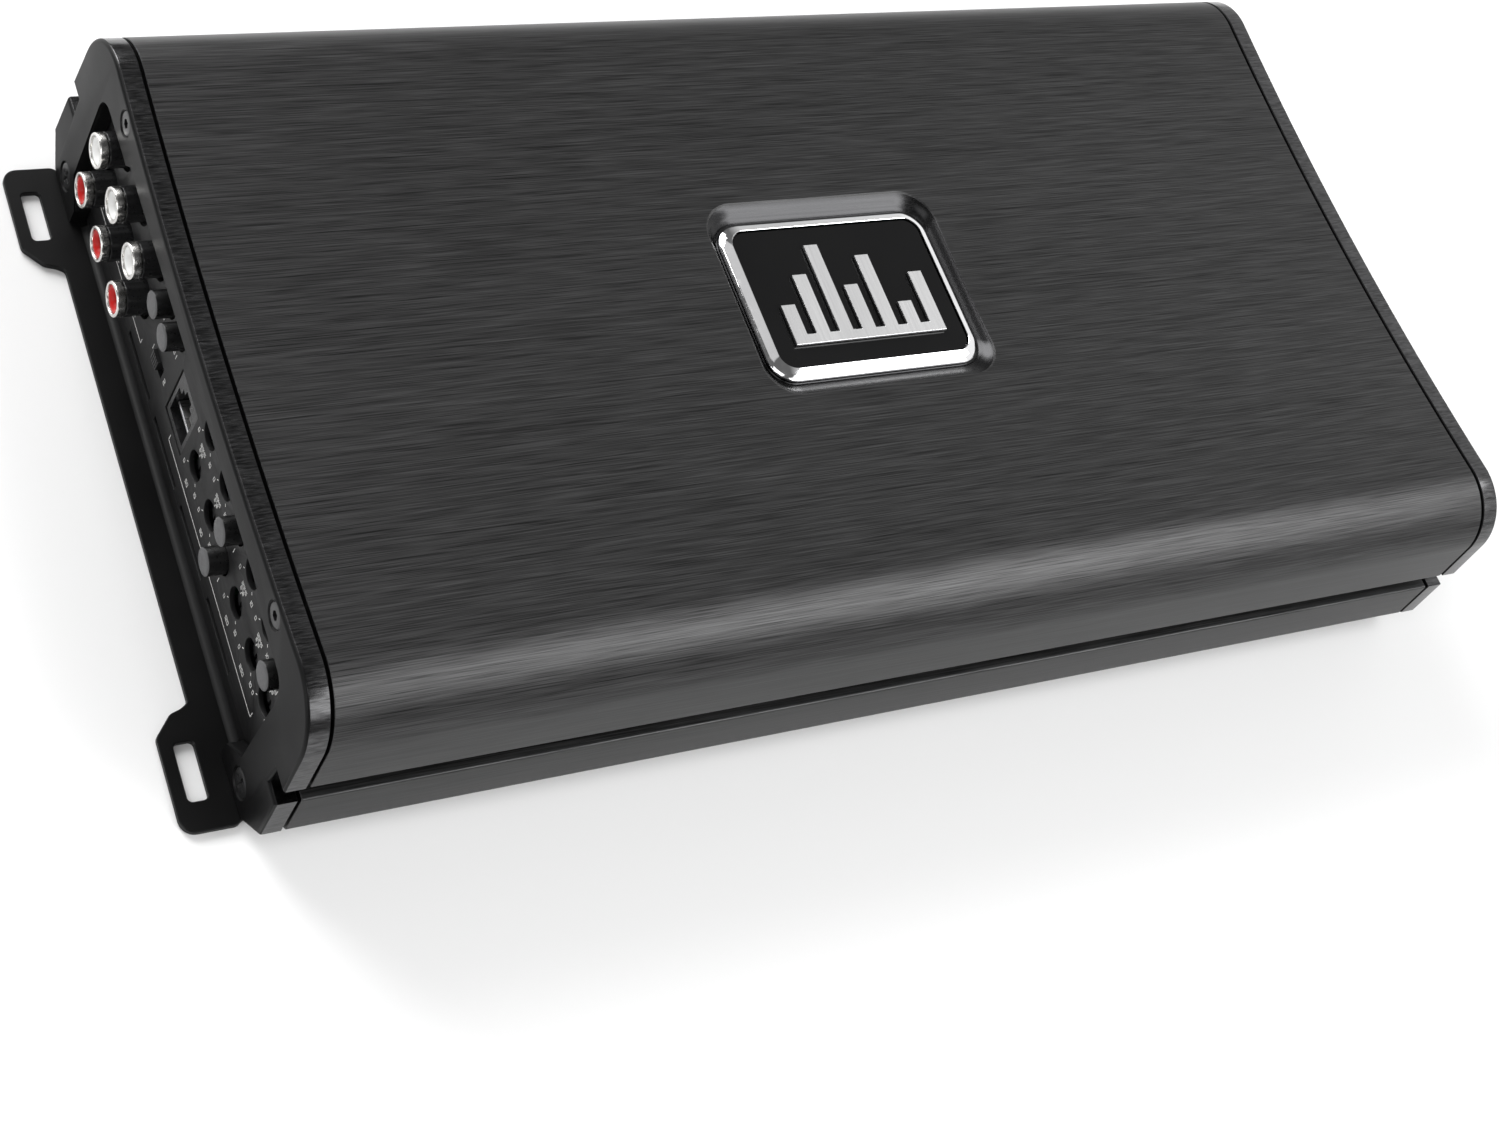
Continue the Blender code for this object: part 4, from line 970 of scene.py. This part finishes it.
def make_power_end(mats):
    """The far end's sheet, terminal screws and marks."""
    low, high = box_mm("power_panel")
    cutters = bmesh.new()
    gap = PANEL_GAP
    for node in ("speaker_terminals", "power_terminals"):
        n_low, n_high = box_mm(node)
        hole_low = (low[0] - 1, n_low[1] - gap, n_low[2] - gap)
        add_box(cutters, hole_low, (high[0] + 1, n_high[1] + gap, n_high[2] + gap))
    make_panel_sheet("power_sheet", "power_panel", cutters, mats)

    n_low, n_high = box_mm("speaker_terminals")
    face = n_high[0]
    middle = (n_low[1] + n_high[1]) / 2
    poles = [middle + (i - (POLES - 1) / 2) * POLE_PITCH for i in range(POLES)]
    for i, y in enumerate(poles, start=1):
        make_clamp_screw(f"speaker_clamp_{i}", (y, POLE_SCREW_Z), POLE_SCREW_R, face, mats)
    bm = bmesh.new()
    for pole in poles[:-1]:
        y = pole + POLE_PITCH / 2
        add_box(bm, (face - 0.4, y - 0.4, n_low[2] + 1), (face + 0.35, y + 0.4, n_high[2] - 0.3))
    mesh_piece("speaker_fins", bm, mats["black"], bevel=0.1)

    face = box_mm("power_terminals")[1][0]
    for name, y in SUPPLY_YS.items():
        make_clamp_screw(f"{name}_clamp", (y, SUPPLY_SCREW_Z), SUPPLY_SCREW_R, face, mats)
    make_clamp_screw("turn_on_clamp", (TURN_ON_Y, POLE_SCREW_Z), POLE_SCREW_R, face, mats)
    bm = bmesh.new()
    for i, y in enumerate(poles):
        add_digits_power(bm, str(i // 2 + 1), (y, POWER_MARK_Z), 1.6, high[0])
    back, front = high[0] - PRINT_IN, high[0] + PRINT_OUT
    for y in SUPPLY_YS.values():
        add_box(bm, (back, y - 1.2, POWER_MARK_Z - 0.2), (front, y + 1.2, POWER_MARK_Z + 0.15))
    y = SUPPLY_YS["supply"]
    add_box(bm, (back, y - 0.18, POWER_MARK_Z - 1.2), (front, y + 0.18, POWER_MARK_Z + 1.2))
    mesh_piece("power_marks", bm, mats["marks"])


def make_clamp_screw(name, center, radius, face, mats):
    """A slotted clamp screw in a shallow well in the block's face."""
    y, z = center
    section = [
        (face - 0.6, radius + 0.5), (face + 0.12, radius + 0.5), (face + 0.2, radius + 0.35),
        (face + 0.2, radius + 0.12), (face - 0.5, radius + 0.05), (face - 0.6, radius),
    ]
    bm = bmesh.new()
    add_turned(bm, section, center, closed=True)
    mesh_piece(name + "_well", bm, mats["black"])
    top = face + 0.15
    bm = bmesh.new()
    add_turned(bm, [(face - 0.5, radius), (face + 0.05, radius), (top, radius - 0.2), (top, 0.3)], center)
    screw = mesh_piece(name, bm, None)
    cutter = bmesh.new()
    add_box(cutter, (face - 0.35, y - radius - 1, z - 0.35), (face + 1, y + radius + 1, z + 0.35))
    cut(screw, cutter)
    screw.data.materials.append(mats["brass"])
    finish_piece(screw)


def add_digits_power(bm, text, center, height, face):
    """Numerals on the power end, where +Y is the reader's right."""
    mirrored_bm = bmesh.new()
    add_digits(mirrored_bm, text, (0.0, 0.0), height, 0.0)
    turn = Matrix.Translation([c * MM for c in (face, *center)]) @ Matrix.Rotation(math.pi, 4, "Z")
    mirrored_bm.transform(turn)
    mesh = bpy.data.meshes.new("digits")
    mirrored_bm.to_mesh(mesh)
    mirrored_bm.free()
    bm.from_mesh(mesh)
    bpy.data.meshes.remove(mesh)


# ---------------------------------------------------------------- carried-over CAD nodes

def dress_nodes(mats):
    """Give the CAD nodes that stay visible their own materials."""
    looks = {
        "circuit_board": "board", "socket_block": "black", "remote_socket": "black", "slide_frame": "steel",
        "slide_lever": "knob", "speaker_terminals": "black", "power_terminals": "black",
        "toroid_transformer": "copper", "capacitor_1": "sleeve", "capacitor_2": "sleeve",
        "transistor_bank": "black",
    }
    for name in NODES:
        if "housing" in name:
            looks[name] = "black"
    for name, key in looks.items():
        node = NODES[name]
        node.data.materials.clear()
        node.data.materials.append(mats[key])


# ---------------------------------------------------------------- stage, light and camera

def make_stage():
    """A wide pale floor just under the base plate."""
    mat, tree, shader = new_material("floor_white", (0.79, 0.79, 0.79), 0.9, 0.0, 0.1)
    soft = scaled_noise(tree, (2.0, 2.0, 2.0), 1.0)
    tree.links.new(remap(tree, soft, 0.88, 0.92), shader.inputs["Roughness"])
    size = 30.0
    mesh = bpy.data.meshes.new("floor")
    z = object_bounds()[0][2] - 0.0002
    corners = [(-size, -size, z), (size, -size, z), (size, size, z), (-size, size, z)]
    mesh.from_pydata(corners, [], [(0, 1, 2, 3)])
    floor = bpy.data.objects.new("floor", mesh)
    bpy.context.scene.collection.objects.link(floor)
    mesh.materials.append(mat)


def area_light(name, location, target, size, power):
    """A rectangular softbox at location that faces target."""
    data = bpy.data.lights.new(name, "AREA")
    data.shape = "RECTANGLE"
    data.size, data.size_y = size
    data.energy = power
    light = bpy.data.objects.new(name, data)
    light.location = location
    direction = Vector(target) - Vector(location)
    light.rotation_euler = direction.to_track_quat("-Z", "Y").to_euler()
    bpy.context.scene.collection.objects.link(light)


def make_world():
    """A soft white studio, a little dimmer towards the control end."""
    world = bpy.data.worlds.new("studio")
    world.use_nodes = True
    tree = world.node_tree
    background = tree.nodes["Background"]
    background.inputs["Color"].default_value = (1.0, 1.0, 1.0, 1.0)
    where = tree.nodes.new("ShaderNodeTexCoord")
    split = tree.nodes.new("ShaderNodeSeparateXYZ")
    tree.links.new(where.outputs["Generated"], split.inputs["Vector"])
    tree.links.new(remap(tree, split.outputs["X"], 0.14, 0.98, 0.25, 0.72), background.inputs["Strength"])
    bpy.context.scene.world = world


def make_lights():
    area_light("softbox_over", (0.95, -0.5, 1.35), (0.05, -0.03, 0.05), (1.2, 0.6), 14.0)
    area_light("softbox_front", (0.5, -0.95, 0.9), (-0.05, -0.09, 0.05), (1.2, 0.7), 7.5)
    area_light("softbox_behind", (-0.5, 1.2, 0.75), (0.0, 0.0, 0.0), (1.1, 1.1), 34.0)
    area_light("softbox_above", (-0.28, 0.67, 1.42), (0.0, 0.0, 0.05), (0.8, 0.6), 0.75)
    area_light("softbox_fill", (-0.8, -0.55, 1.15), (-0.2, -0.05, 0.0), (0.9, 0.9), 4.0)
    area_light("softbox_left", (-1.2, -0.35, 0.45), (-0.16, 0.0, 0.03), (0.6, 0.6), 5.0)


def make_camera():
    """The camera stands at the control end's near corner and looks down along the case."""
    data = bpy.data.cameras.new("camera")
    data.sensor_width = 36.0
    data.lens = 64.52
    data.shift_x, data.shift_y = 0.0249, -0.199
    right = Vector((0.85525, -0.34088, 0.39033))
    up = Vector((0.07526, 0.82692, 0.55726))
    back = right.cross(up)
    camera = bpy.data.objects.new("camera", data)
    rotation = Matrix((right, up, back)).transposed().to_4x4()
    camera.matrix_world = Matrix.Translation((-0.3576, -0.2712, 0.5134)) @ rotation
    data.clip_start = 0.01
    bpy.context.scene.collection.objects.link(camera)
    bpy.context.scene.camera = camera
    bpy.context.scene.view_settings.view_transform = "Standard"


def main():
    mats = make_materials()
    make_case(mats)
    make_cap("cap_control", "control_end_cap", -1, "control", mats)
    make_cap("cap_power", "power_end_cap", 1, "power", mats)
    for node in sorted(NODES):
        if "_screw_" in node:
            make_screw(node, -1 if node.startswith("control") else 1, mats)
    make_plate(mats)
    make_badge(mats)
    make_control_panel(mats)
    make_sockets(mats)
    make_knobs(mats)
    make_buttons(mats)
    make_remote_socket(mats)
    make_slide_details(mats)
    make_power_end(mats)
    dress_nodes(mats)
    make_stage()
    make_world()
    make_lights()
    make_camera()


main()
